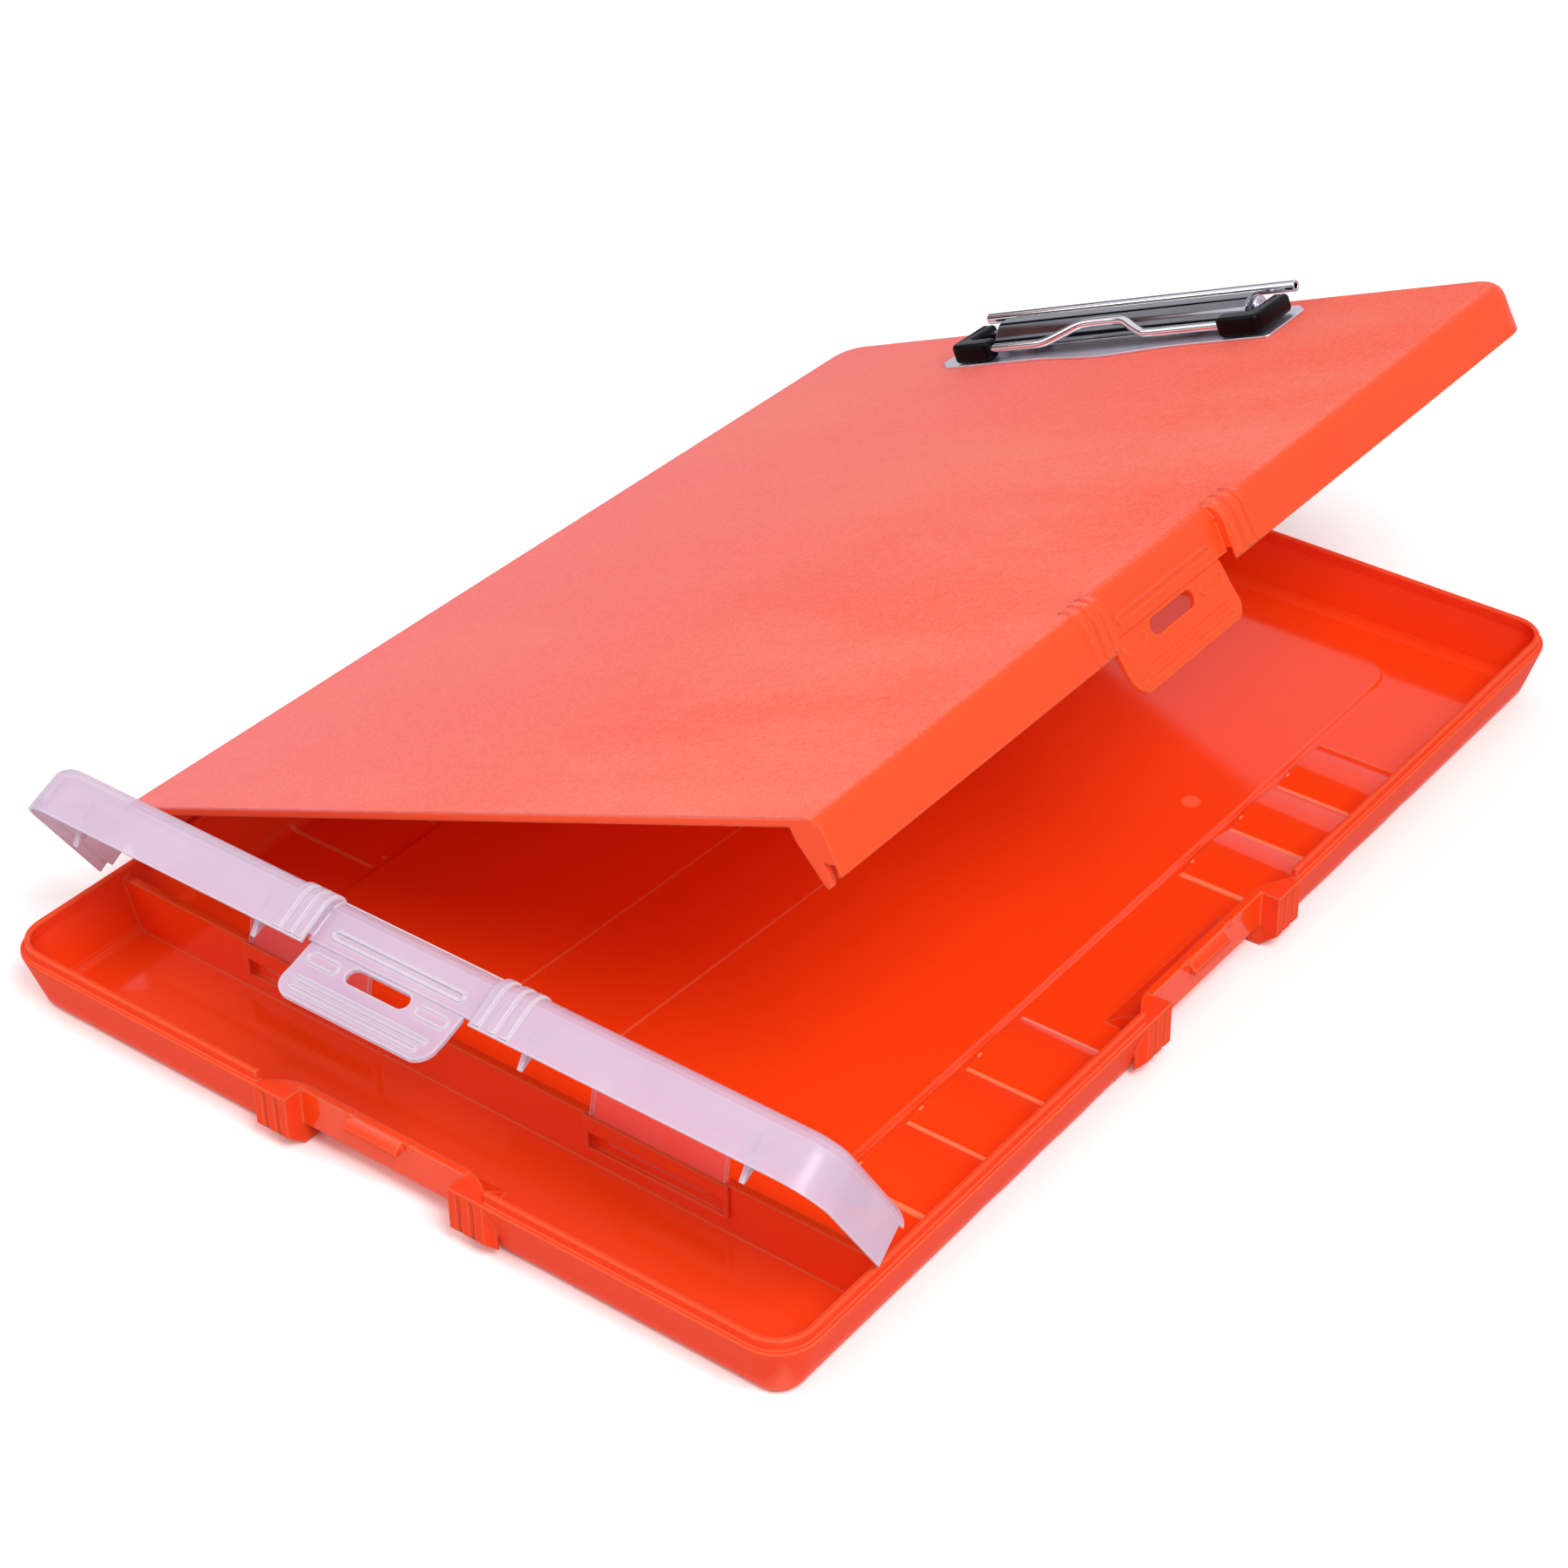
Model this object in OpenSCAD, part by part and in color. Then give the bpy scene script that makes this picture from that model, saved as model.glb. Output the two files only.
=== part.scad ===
// Storage clipboard box: a shallow tray with a hinged writing lid, a hinged pen lid,
// two living-hinge latches and a spring clip. Millimetres, +Z up.
// The origin is the centre of the tray's underside. +Y points to the clip end.

/* [Overall] */
// Width of the box at the parting line
box_w = 240; // [236:1:250]
// Length of the box at the parting line
box_l = 350; // [346:1:360]
// Thickness of the box with both lids closed
box_t = 30; // [29:0.5:33]
// Height of the parting line between the tray and its lids
ledge_z = 16; // [15:0.5:17]
// Corner radius of the plan outline
corner_r = 11; // [10:0.5:14]

/* [Pose] */
// How far the writing lid stands open
lid_angle = 22.2; // [0:0.1:170]
// How far the pen lid stands open
pen_angle = 58; // [0:1:90]
// How far each latch hangs outward from its lid
latch_angle = 13; // [13:1:60]

/* [Tray] */
// Thickness of the floor around its raised panel
floor_t = 1.8; // [1.6:0.1:2.4]
// Height of the raised floor panel above the floor
panel_step = 1; // [0.6:0.1:1.4]
// Inset of the wall's foot from its top edge
wall_draft = 4.2; // [3:0.1:5]
// Height of the tongue that enters the lids
tongue_h = 2.8; // [2:0.1:3]
// Pitch of the finger scallops under the latch side
scallop_pitch = 24; // [20:1:25]
// Rise of each finger scallop
scallop_rise = 2; // [1:0.1:2.4]

/* [Lids] */
// Thickness of the writing lid's top
lid_t = 2.2; // [1.8:0.1:2.6]
// Radius of the lids' top edge
lid_round = 4.5; // [3.5:0.1:5]
// Near edge of the writing lid
split_y = -130.5; // [-131:0.1:-130]

/* [Hinges] */
// Distance of the main hinge axis outside the tray's left edge
hinge_out = 4; // [3.8:0.1:4.6]
// Radius of the hinge knuckles
knuckle_r = 3.3; // [3:0.1:3.4]
// Radius of the steel hinge pins
pin_r = 1.25; // [1:0.05:1.5]

/* [Latches] */
// Half width of the recess that each latch closes into
bay_half = 25; // [24:0.5:27]
// Depth of that recess
bay_depth = 5.2; // [5:0.1:5.6]
// Length of the slot in each latch
slot_l = 18.5; // [17:0.5:20]
// Height of the slot in each latch
slot_h = 4.3; // [4.2:0.1:4.5]

/* [Clip] */
// Radius of the clip's jaw wire
wire_r = 1.3; // [1.1:0.1:1.5]

/* [Hidden] */
$fn = 48;
half_w = box_w / 2;
half_l = box_l / 2;

// Tray section
foot_r = 2.5;
wall_t = 2.3;
tongue_in = 1.2;
tongue_t = 1.5;
tongue_top = ledge_z + tongue_h;
inner_fillet = 3;
panel_half_w = 83;
panel_near = -114;
panel_far = 153;
panel_r = 10;
divider_y = -136.4;
divider_t = 2.2;
divider_z = ledge_z;
scallop_first = 36;
scallops = 3;
scallop_x = 85;
scallop_wall = 2;
scallop_r = (pow(scallop_pitch / 2, 2) + pow(scallop_rise, 2)) / (2 * scallop_rise);

// Lid section
fit_gap = 0.3;
skirt_z = ledge_z + fit_gap;
skirt_out = 0.1;
skirt_draft = 0.8;
lip_t = 0.8;
round_u = skirt_out + skirt_draft + lid_round;
round_z = box_t - lid_round;
rabbet_z = tongue_top + fit_gap;
web_t = 1.8;
tooth_t = 1.2;

// Main hinge
hinge_x = -half_w - hinge_out;
hinge_z = ledge_z;
bore_r = pin_r + 0.05;
hinge_stations = [-95, 22, 140];
knuckle_l = 9;
lid_knuckle_l = 17.2;
knuckle_gap = 0.4;
pin_l = lid_knuckle_l + 2 * (knuckle_l + knuckle_gap) - 2;

// Pen lid hinge
pen_axis_y = -134.5;
pen_axis_z = 26.4;
pen_t = 2;
pen_out_r = box_t - pen_axis_z;
pen_in_r = pen_out_r - pen_t;
pen_side_end = pen_axis_y + 0.8;
leaf_x0 = 34;
leaf_x1 = 74;
leaf_bead_r = 1.3;
leaf_t = 1.1;
pocket_drop = 3;
pocket_step = 1.2;
leaf_foot_z = 10;

// Latches
block_half = bay_half + 10;
bay_wall = 2.2;
bay_wall_z = ledge_z + 0.2;
scoop_z = 6;
scoop_in = 10.8;
tab_mid = -1.5;
tab_half = bay_half - 2.2;
tab_t = 1.4;
tab_u = 2.5;
tab_hinge_z = 17;
tab_hinge_u = tab_u + tab_t / 2;
tab_fold_z = 10.6;
tab_foot_z = 3.2;
tab_flare = 5;
tab_r = 5;
slot_z = 14.7;
catch_l = 16;
catch_foot_z = slot_z - 1.8;
catch_tip_u = 3;
nub_s = 9.3;
nub_r = 1.1;
groove_s = [28, 31.8];
rib_s = [-33, -29.4, -26.3, 26.8, 31.2, 35];
rib_end = 70;
bay_inset = 2.5;

// Clip, in the closed lid's frame
clip_x = 4.4;
plate_x0 = -56.5;
plate_x1 = 61;
plate_t = 0.8;
plate_front = 140.8;
plate_back = 164;
plate_bulge = 2.6;
bulge_x0 = -20;
bulge_x1 = 30;
plate_z = box_t + plate_t;
grip_z = plate_z + fit_gap;
grip_w = 5.2;
grip_h = 5.6;
grip_inner = 40;
grip_outer = 53.9;
grip_round = 1.2;
arm_t = 4.7;
pivot_y = 157;
pivot_z = grip_z + grip_h / 2;
rod_r = 1.25;
rod_half = 52.2;
ear_x = 44.6;
ear_t = 1;
ear_r = 3;
flange_x = 43;
flange_t = 0.9;
tube_y = 5.8;
tube_z = 2.9;
tube_r = 1.6;
tube_half = 54.2;
sheet_t = 0.8;
sheet_top = [[-10.6, -1], [-6.2, 0.9], [-3.2, 3.7], [2, 3.9], [tube_y - 0.9, tube_z + 0.7]];
jaw_y = plate_front + grip_w / 2 + 0.3;
jaw_z = grip_z + 3;
hump_x = [-22, -8, 4, 14];
hump_rise = 4.95;
hump_tilt = 43;
wire_half = 44;
coil_x = 35;
coil_r = 2;
coil_wire = 0.5;
coil_pitch = 1.6;
coil_turns = 4;
rivet_x = 27;
rivet_y = 150.5;

// ---- Helpers ---------------------------------------------------------------

// Points along an arc from angle a0 to a1 in n steps
function arc(c, r, a0, a1, n) =
    [for (i = [0:n]) let (a = a0 + (a1 - a0) * i / n) [c[0] + r * cos(a), c[1] + r * sin(a)]];

// A flat shape drawn in Y and Z, extruded along X
module along_x(x0, x1)
    translate([x0, 0, 0]) rotate([90, 0, 90]) linear_extrude(x1 - x0) children();

// A flat shape drawn in X and Z, extruded along Y
module along_y(y0, y1)
    translate([0, y1, 0]) rotate([90, 0, 0]) linear_extrude(y1 - y0) children();

// An edge profile drawn as (inset, height), run straight along the near side
module near_side(l) translate([0, -half_l, 0]) along_x(-l / 2, l / 2) children();

// The same profile along the right side between two Y values
module right_side(y0, y1)
    translate([half_w, 0, 0]) rotate([0, 0, 90]) along_x(y0, y1) children();

// The same profile turned round the near right corner
module near_corner()
    translate([half_w - corner_r, -half_l + corner_r, 0]) rotate([0, 0, -90])
        rotate_extrude(angle = 90) translate([corner_r, 0]) mirror([1, 0]) children();

module both_x() {
    children();
    mirror([1, 0, 0]) children();
}

module both_y() {
    children();
    mirror([0, 1, 0]) children();
}

module both_z() {
    children();
    mirror([0, 0, 1]) children();
}

// Puts a latch feature, drawn at the near side, on the near side or on the right side
module at_near() translate([0, -half_l, 0]) children();
module at_right() translate([half_w, 0, 0]) rotate([0, 0, 90]) children();

// A bar with round ends, drawn flat
module stadium(l, h) {
    square([l - h, h], center = true);
    for (s = [-1, 1]) translate([s * (l - h) / 2, 0]) circle(h / 2, $fn = 24);
}

// The raised outline of such a bar
module ridge_loop(l, h, t = 0.6) difference() {
    stadium(l, h);
    stadium(l - 2 * t, h - 2 * t);
}

// That outline as a low ridge on an outer face
module raised_loop(l, h) rotate([90, 0, 0]) linear_extrude(0.45) ridge_loop(l, h, 0.45);

// A rectangle with rounded lower corners, hanging from z1 to z0
module hanging_panel(half, z0, z1, r) {
    translate([-half, z0 + r]) square([2 * half, z1 - z0 - r]);
    translate([-half + r, z0]) square([2 * half - 2 * r, r + 0.1]);
    for (s = [-1, 1]) translate([s * (half - r), z0 + r]) circle(r);
}

// ---- Poses -----------------------------------------------------------------

module main_lid_pose()
    translate([hinge_x, 0, hinge_z]) rotate(a = lid_angle, v = [0, -1, 0])
        translate([-hinge_x, 0, -hinge_z]) children();

module pen_lid_pose()
    translate([0, pen_axis_y, pen_axis_z]) rotate(a = pen_angle, v = [-1, 0, 0])
        translate([0, -pen_axis_y, -pen_axis_z]) children();

// A latch swings about its film hinge, in the frame of the near side
module latch_pose()
    translate([0, tab_hinge_u, tab_hinge_z]) rotate([-latch_angle, 0, 0])
        translate([0, -tab_hinge_u, -tab_hinge_z]) children();

// ---- Tray ------------------------------------------------------------------

module tray_section() polygon(concat(
    [[corner_r, 0]],
    arc([wall_draft + foot_r, foot_r], foot_r, 270, 190, 4),
    [[0, ledge_z - 0.6], [0, ledge_z], [tongue_in, ledge_z], [tongue_in, tongue_top - 0.3],
     [tongue_in + 0.3, tongue_top], [tongue_in + tongue_t - 0.3, tongue_top],
     [tongue_in + tongue_t, tongue_top - 0.3], [tongue_in + tongue_t, ledge_z - 1]],
    arc([wall_draft + wall_t + inner_fillet - 0.5, floor_t + inner_fillet], inner_fillet, 180, 270, 4),
    [[corner_r, floor_t]]
));

module tray_shell() {
    both_y() near_side(box_w - 2 * corner_r) tray_section();
    both_x() right_side(-half_l + corner_r, half_l - corner_r) tray_section();
    both_x() both_y() near_corner() tray_section();
    translate([-half_w + corner_r, -half_l + corner_r, 0])
        cube([box_w - 2 * corner_r, box_l - 2 * corner_r, floor_t]);
}

// Raised floor panel with a step that slopes at 45 degrees all round
module floor_panel() {
    z = floor_t + panel_step;
    w = 2 * panel_half_w;
    l = panel_far - panel_near;
    module slope() polygon([[0, floor_t - 0.5], [0, floor_t], [panel_step, z],
        [panel_r, z], [panel_r, floor_t - 0.5]]);
    translate([0, (panel_near + panel_far) / 2, 0]) {
        translate([-w / 2 + panel_r, -l / 2 + panel_r, floor_t - 0.5])
            cube([w - 2 * panel_r, l - 2 * panel_r, panel_step + 0.5]);
        both_y() translate([0, -l / 2, 0])
            along_x(-w / 2 + panel_r, w / 2 - panel_r) slope();
        both_x() translate([w / 2, 0, 0]) rotate([0, 0, 90])
            along_x(-l / 2 + panel_r, l / 2 - panel_r) slope();
        both_x() both_y() translate([w / 2 - panel_r, -l / 2 + panel_r, 0]) rotate([0, 0, -90])
            rotate_extrude(angle = 90) translate([panel_r, 0]) mirror([1, 0]) slope();
    }
}

// Wall between the two compartments
module divider() {
    along_y(divider_y - divider_t / 2, divider_y + divider_t / 2)
        polygon([[-half_w + 8.5, 1], [half_w - 8.5, 1], [half_w - 5, 5],
            [half_w - 2, divider_z], [-half_w + 2, divider_z], [-half_w + 5, 5]]);
}

// Pocket in the divider for one leaf of the pen lid's hinge
module leaf_pocket() {
    y0 = divider_y - divider_t / 2;
    translate([leaf_x0, y0 - 1, divider_z - pocket_drop])
        cube([leaf_x1 - leaf_x0, divider_t + 2, pocket_drop + 1]);
    translate([leaf_x0, y0 - 1, leaf_foot_z - 4])
        cube([leaf_x1 - leaf_x0, 1 + pocket_step, 20]);
}

module scallop_centres()
    for (side = [-1, 1], i = [0:scallops - 1])
        translate([0, side * (scallop_first + (i + 0.5) * scallop_pitch), scallop_rise - scallop_r])
            children();

// Humps in the floor over the finger scallops
module scallop_humps() intersection() {
    scallop_centres() rotate([0, 90, 0])
        cylinder(r = scallop_r + scallop_wall, h = half_w - 8, $fn = 180);
    both_y() translate([scallop_x, scallop_first - 0.5, 0.2])
        cube([half_w - 8 - scallop_x, scallops * scallop_pitch + 1, 10]);
}

module scallop_cuts() scallop_centres() translate([scallop_x + 1, 0, 0]) rotate([0, 90, 0])
    cylinder(r = scallop_r, h = half_w, $fn = 180);

// Points of the curved wall over the finger scoop of a latch bay
function scoop(du, dz) =
    [for (i = [0:6]) [bay_depth + du + scoop_in * i / 6, dz + scoop_z * cos(15 * i)]];

// Everything that a latch bay adds to the tray wall, at the near side
module bay_solid() {
    along_x(-bay_half - 0.5, bay_half + 0.5) polygon(concat(
        [[bay_depth, bay_wall_z]], scoop(0, 0),
        [[bay_depth + scoop_in + 2.5, 0], [bay_depth + scoop_in + 2.5, floor_t]],
        [for (i = [6:-1:0]) scoop(bay_wall, floor_t)[i]],
        [[bay_depth + bay_wall, bay_wall_z]]));
    both_x() difference() {
        linear_extrude(ledge_z) polygon(concat(
            [[bay_half, 0], [block_half, 0], [block_half + 2, 2]],
            [for (i = [8:-1:0]) [bay_half + (block_half + 2 - bay_half) * i / 8,
                bay_depth + bay_wall - (bay_depth + bay_wall - 2.7) * (1 - cos(180 * i / 8)) / 2]]));
        along_x(bay_half - 1, block_half + 3)
            polygon([[-1, -1], [wall_draft + 1.5, -1], [wall_draft + 0.4, 0.4], [0, 4.5], [-1, 4.5]]);
        for (s = groove_s) translate([s - 0.75, -1, 4]) cube([1.5, 1.8, 11.2]);
        // Core from below, so that the block has an even wall
        translate([bay_half + 2, 2, -1]) cube([5.5, 3.2, ledge_z - 1]);
    }
    // Catch for the latch's slot: a ramp from the wall's top edge down to a bar
    translate([tab_mid, 0, 0]) along_x(-catch_l / 2, catch_l / 2) polygon([
        [bay_depth + 0.5, bay_wall_z], [bay_depth - 0.4, bay_wall_z - 0.5],
        [catch_tip_u, catch_foot_z + 1.1], [catch_tip_u, catch_foot_z],
        [bay_depth + 0.5, catch_foot_z]]);
    both_x() translate([nub_s, bay_depth + 0.3, bay_wall_z - 0.5]) sphere(nub_r);
}

// Everything that a latch bay takes from the tray wall, at the near side
module bay_cut() {
    translate([-block_half, -5, ledge_z]) cube([2 * block_half, 12, tongue_h + 2]);
    translate([-bay_half, -5, -5]) cube([2 * bay_half, bay_depth + 5, ledge_z + 10]);
    along_x(-bay_half, bay_half) polygon(concat(
        [[-5, scoop_z]], scoop(0, 0), [[bay_depth + scoop_in, -5], [-5, -5]]));
}

module tray_knuckles()
    for (y = hinge_stations, side = [-1, 1]) {
        y0 = y + side * (lid_knuckle_l / 2 + knuckle_gap + knuckle_l / 2) - knuckle_l / 2;
        along_y(y0, y0 + knuckle_l) difference() {
            union() {
                translate([hinge_x, hinge_z]) circle(knuckle_r);
                polygon([[hinge_x - knuckle_r * 0.7, hinge_z - knuckle_r * 0.714],
                    [hinge_x + 0.5, hinge_z - 5.2], [-half_w + 2.2, hinge_z - 7.2],
                    [-half_w + 0.9, hinge_z], [hinge_x, hinge_z]]);
            }
            translate([hinge_x, hinge_z]) circle(bore_r);
        }
    }

module base_tray() color("orangered") difference() {
    union() {
        difference() {
            union() {
                tray_shell();
                scallop_humps();
                divider();
            }
            at_near() bay_cut();
            at_right() bay_cut();
            scallop_cuts();
            both_x() leaf_pocket();
        }
        floor_panel();
        at_near() bay_solid();
        at_right() bay_solid();
        tray_knuckles();
    }
}

module hinge_pin(y) color("gainsboro")
    translate([hinge_x, y, hinge_z]) rotate([90, 0, 0]) {
        cylinder(r = pin_r, h = pin_l - 1, center = true);
        both_z() translate([0, 0, pin_l / 2 - 0.5])
            cylinder(r1 = pin_r, r2 = pin_r - 0.4, h = 0.5, $fn = 32);
    }

module main_hinge_pin_front() hinge_pin(hinge_stations[0]);
module main_hinge_pin_middle() hinge_pin(hinge_stations[1]);
module main_hinge_pin_rear() hinge_pin(hinge_stations[2]);

// Snap-in leaf that carries the pen lid: a foot in the divider's pocket and a bead at the axis
module hinge_leaf() color("thistle") {
    y0 = divider_y - divider_t / 2;
    gap = 0.4;
    along_x(leaf_x0 + gap, leaf_x1 - gap) {
        polygon([[y0, divider_z - pocket_drop + 0.2], [y0 + leaf_t, divider_z - pocket_drop + 0.2],
            [y0 + leaf_t, divider_z - 1], [pen_axis_y + 0.6, pen_axis_z - 1],
            [pen_axis_y - 0.6, pen_axis_z - 0.4], [y0, divider_z]]);
        translate([pen_axis_y, pen_axis_z]) circle(leaf_bead_r, $fn = 32);
    }
    translate([(leaf_x0 + leaf_x1) / 2, 0, 0]) along_y(y0, y0 + leaf_t)
        hanging_panel(15, leaf_foot_z, divider_z - pocket_drop + 1, 2);
}

module pen_hinge_leaf_right() hinge_leaf();
module pen_hinge_leaf_left() mirror([1, 0, 0]) hinge_leaf();

// ---- Lids ------------------------------------------------------------------

module lid_section(t = lid_t) polygon(concat(
    [[skirt_out, skirt_z]],
    arc([round_u, round_z], lid_round, 180, 90, 5),
    [[corner_r, box_t], [corner_r, box_t - t]],
    arc([round_u, round_z], lid_round - t, 90, 180, 4),
    [[2.8, rabbet_z], [skirt_out + lip_t, rabbet_z], [skirt_out + lip_t, skirt_z]]
));

// The skirt where it steps in behind a latch
module inset_section(t = lid_t) translate([bay_inset, 0]) polygon(concat(
    [[skirt_out + 0.1, tab_hinge_z + 1]],
    arc([round_u, round_z], lid_round, 180, 90, 5),
    [[round_u + 4, box_t], [round_u + 4, box_t - t]],
    arc([round_u, round_z], lid_round - t, 90, 180, 4),
    [[skirt_out + t + 0.1, tab_hinge_z + 1]]
));

module rib_section() polygon(concat(
    [[skirt_out - 0.5, skirt_z + 0.6]],
    arc([round_u, round_z], lid_round + 0.6, 180, rib_end, 6),
    arc([round_u, round_z], lid_round - 1, rib_end, 180, 5),
    [[skirt_out + 0.4, skirt_z + 0.6]]
));

module lid_bay_cut()
    translate([-bay_half, -2, ledge_z - 1]) cube([2 * bay_half, round_u + 3, box_t]);

module lid_bay_solid(t = lid_t) {
    along_x(-bay_half - 0.5, bay_half + 0.5) inset_section(t);
    both_x() {
        // End cheek that closes the step
        translate([bay_half, skirt_out + 0.6, rabbet_z + 0.2])
            cube([1.6, bay_inset + t, round_z - rabbet_z]);
    }
    for (s = rib_s) along_x(s - 1, s + 1) rib_section();
    // Long raised outline over the latch
    translate([-0.8, bay_inset + skirt_out + 0.75, 21.6]) rotate([90, 0, 0])
        linear_extrude(0.8) ridge_loop(39.5, 2.6);
}

module main_lid_shell() {
    both_x() right_side(split_y, half_l - corner_r) lid_section();
    mirror([0, 1, 0]) {
        near_side(box_w - 2 * corner_r) lid_section();
        both_x() near_corner() lid_section();
    }
    translate([-half_w + corner_r, split_y, box_t - lid_t])
        cube([box_w - 2 * corner_r, half_l - corner_r - split_y, lid_t]);
}

// Web that closes each near end of the side skirts, down inside the tray wall
module end_web() along_y(split_y, split_y + web_t) polygon([
    [half_w - 10, box_t - 1], [half_w - 9.7, 24.8], [half_w - 8.1, 20.6], [half_w - 6.4, 15.9],
    [half_w - 5.6, 13.9], [half_w - 4.9, 13.3], [half_w - 4.2, 13.8], [half_w - 3.9, 14.8],
    [half_w - 3.9, rabbet_z + 0.3], [half_w - 1.8, rabbet_z + 0.3], [half_w - 2, round_z],
    [half_w - round_u, box_t - 0.6]]);

// Small tooth inside a skirt that guides the lid over the tongue
module tooth(u, z) along_x(-tooth_t / 2, tooth_t / 2)
    polygon([[2.6, 24], [2.9, rabbet_z + 0.1], [u - 0.6, z], [u, z], [u + 1.2, 24]]);

module lid_knuckles()
    for (y = hinge_stations) along_y(y - lid_knuckle_l / 2, y + lid_knuckle_l / 2) difference() {
        union() {
            translate([hinge_x, hinge_z]) circle(knuckle_r);
            polygon([[hinge_x, hinge_z + 0.8], [-half_w + 0.5, hinge_z + 0.8],
                [-half_w + 1.1, hinge_z + 6.5], [hinge_x + 0.6, hinge_z + knuckle_r]]);
        }
        translate([hinge_x, hinge_z]) circle(bore_r);
    }

module main_lid() color("tomato") main_lid_pose() {
    difference() {
        main_lid_shell();
        at_right() lid_bay_cut();
    }
    both_x() end_web();
    at_right() {
        lid_bay_solid();
        for (s = [-127, -46, 42, 126]) translate([s, 0, 0]) tooth(4.6, 14.4);
    }
    lid_knuckles();
}

module pen_lid_shell() {
    near_side(box_w - 2 * corner_r) lid_section(pen_t);
    both_x() {
        near_corner() lid_section(pen_t);
        right_side(-half_l + corner_r, pen_axis_y + pen_out_r) lid_section(pen_t);
    }
    translate([-half_w + corner_r, -half_l + corner_r, box_t - pen_t])
        cube([box_w - 2 * corner_r, pen_axis_y + half_l - corner_r, pen_t]);
    // Rolled rear edge about the hinge axis
    along_x(-half_w + corner_r - 0.1, half_w - corner_r + 0.1)
        translate([pen_axis_y, pen_axis_z]) intersection() {
            difference() {
                circle(pen_out_r);
                circle(pen_in_r);
            }
            translate([-0.1, 0]) square(10);
        }
}

// Rounds the rear ends of the side skirts about the hinge axis
module pen_rear_cut() along_x(-half_w - 5, half_w + 5) {
    translate([pen_side_end, 0]) square([20, pen_axis_z]);
    difference() {
        translate([pen_axis_y, pen_axis_z]) square(20);
        translate([pen_axis_y, pen_axis_z]) circle(pen_out_r);
    }
}

module pen_lid() color("thistle") pen_lid_pose() {
    difference() {
        pen_lid_shell();
        pen_rear_cut();
        at_near() lid_bay_cut();
        both_x() translate([leaf_x0 - 0.4, pen_axis_y, pen_axis_z - 5])
            cube([leaf_x1 - leaf_x0 + 0.8, 10, 20]);
    }
    at_near() {
        lid_bay_solid(pen_t);
        for (s = [-100, -41.5, 39, 100]) translate([s, 0, 0]) tooth(6.2, 13.4);
    }
}

// ---- Latches ---------------------------------------------------------------

// Section of a latch: a flat panel under the film hinge, and a flared finger lip
module tab_section() {
    lip_l = tab_fold_z - tab_foot_z;
    tip = [tab_u - lip_l * sin(tab_flare), tab_fold_z - lip_l * cos(tab_flare)];
    polygon([[tab_u, tab_hinge_z], [tab_u, tab_fold_z], tip,
        tip + tab_t * [cos(tab_flare), -sin(tab_flare)],
        [tab_u + tab_t, tab_fold_z - tab_t * tan(tab_flare / 2)], [tab_u + tab_t, tab_hinge_z]]);
    translate([tab_hinge_u, tab_hinge_z]) circle(tab_t / 2, $fn = 32);
}

// Drawn closed, at the near side, with its slot for the tray's catch
module latch_tab() translate([tab_mid, 0, 0]) difference() {
    union() {
        along_x(-tab_half, tab_half) tab_section();
        translate([0, tab_u + 0.1, tab_fold_z]) rotate([-tab_flare, 0, 0]) {
            translate([0, 0, -2.2]) raised_loop(40, 1.6);
            translate([0, 0, -4.9]) raised_loop(38, 1.6);
        }
        for (s = [-16.3, 16.3]) translate([s, tab_u + 0.1, slot_z - 0.4]) raised_loop(9.4, 3.2);
    }
    translate([0, tab_u + 5, slot_z]) rotate([90, 0, 0]) linear_extrude(10) stadium(slot_l, slot_h);
    both_x() along_y(-1, tab_u + 5) translate([tab_half - tab_r, tab_foot_z + tab_r - 0.2])
        difference() {
            translate([0, -tab_r - 1]) square(tab_r + 1);
            circle(tab_r);
        }
}

module main_lid_latch() color("tomato") main_lid_pose() at_right() latch_pose() latch_tab();
module pen_lid_latch() color("thistle") pen_lid_pose() at_near() latch_pose() latch_tab();

// ---- Clip ------------------------------------------------------------------

// The clip's own frame: its middle, on the closed writing lid
module clip_pose() main_lid_pose() translate([clip_x, 0, 0]) children();

// A shape drawn in Y and Z about the clip's pivot, extruded along X
module at_pivot(x0, x1) translate([0, pivot_y, pivot_z]) along_x(x0, x1) children();

module base_ear() at_pivot(ear_x, ear_x + ear_t) difference() {
    union() {
        circle(ear_r);
        translate([-ear_r, -pivot_z + plate_z - 0.4]) square([2 * ear_r, pivot_z - plate_z + 0.4]);
    }
    circle(rod_r + 0.05);
}

module clip_base_plate() color("silver") main_lid_pose() {
    translate([0, 0, box_t]) linear_extrude(plate_t) polygon(concat(
        [[plate_x0, plate_back - 4], [plate_x0, plate_front + 4], [plate_x0 + 4, plate_front]],
        [for (i = [0:16]) [bulge_x0 + (bulge_x1 - bulge_x0) * i / 16,
            plate_front - plate_bulge * (1 - cos(22.5 * i)) / 2]],
        [[plate_x1 - 1, plate_front], [plate_x1, plate_front + 1], [plate_x1, plate_back - 4],
         [plate_x1 - 4, plate_back], [plate_x0 + 4, plate_back]]));
    translate([clip_x, 0, 0]) both_x() base_ear();
}

module rivet(side) color("gainsboro") clip_pose()
    translate([side * rivet_x, rivet_y, plate_z]) cylinder(r1 = 2.6, r2 = 1.9, h = 0.9, $fn = 32);
module clip_rivet_left() rivet(-1);
module clip_rivet_right() rivet(1);

module clip_pivot_rod() color("silver") clip_pose() translate([-rod_half, pivot_y, pivot_z])
    rotate([0, 90, 0]) cylinder(r = rod_r, h = 2 * rod_half);

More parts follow.
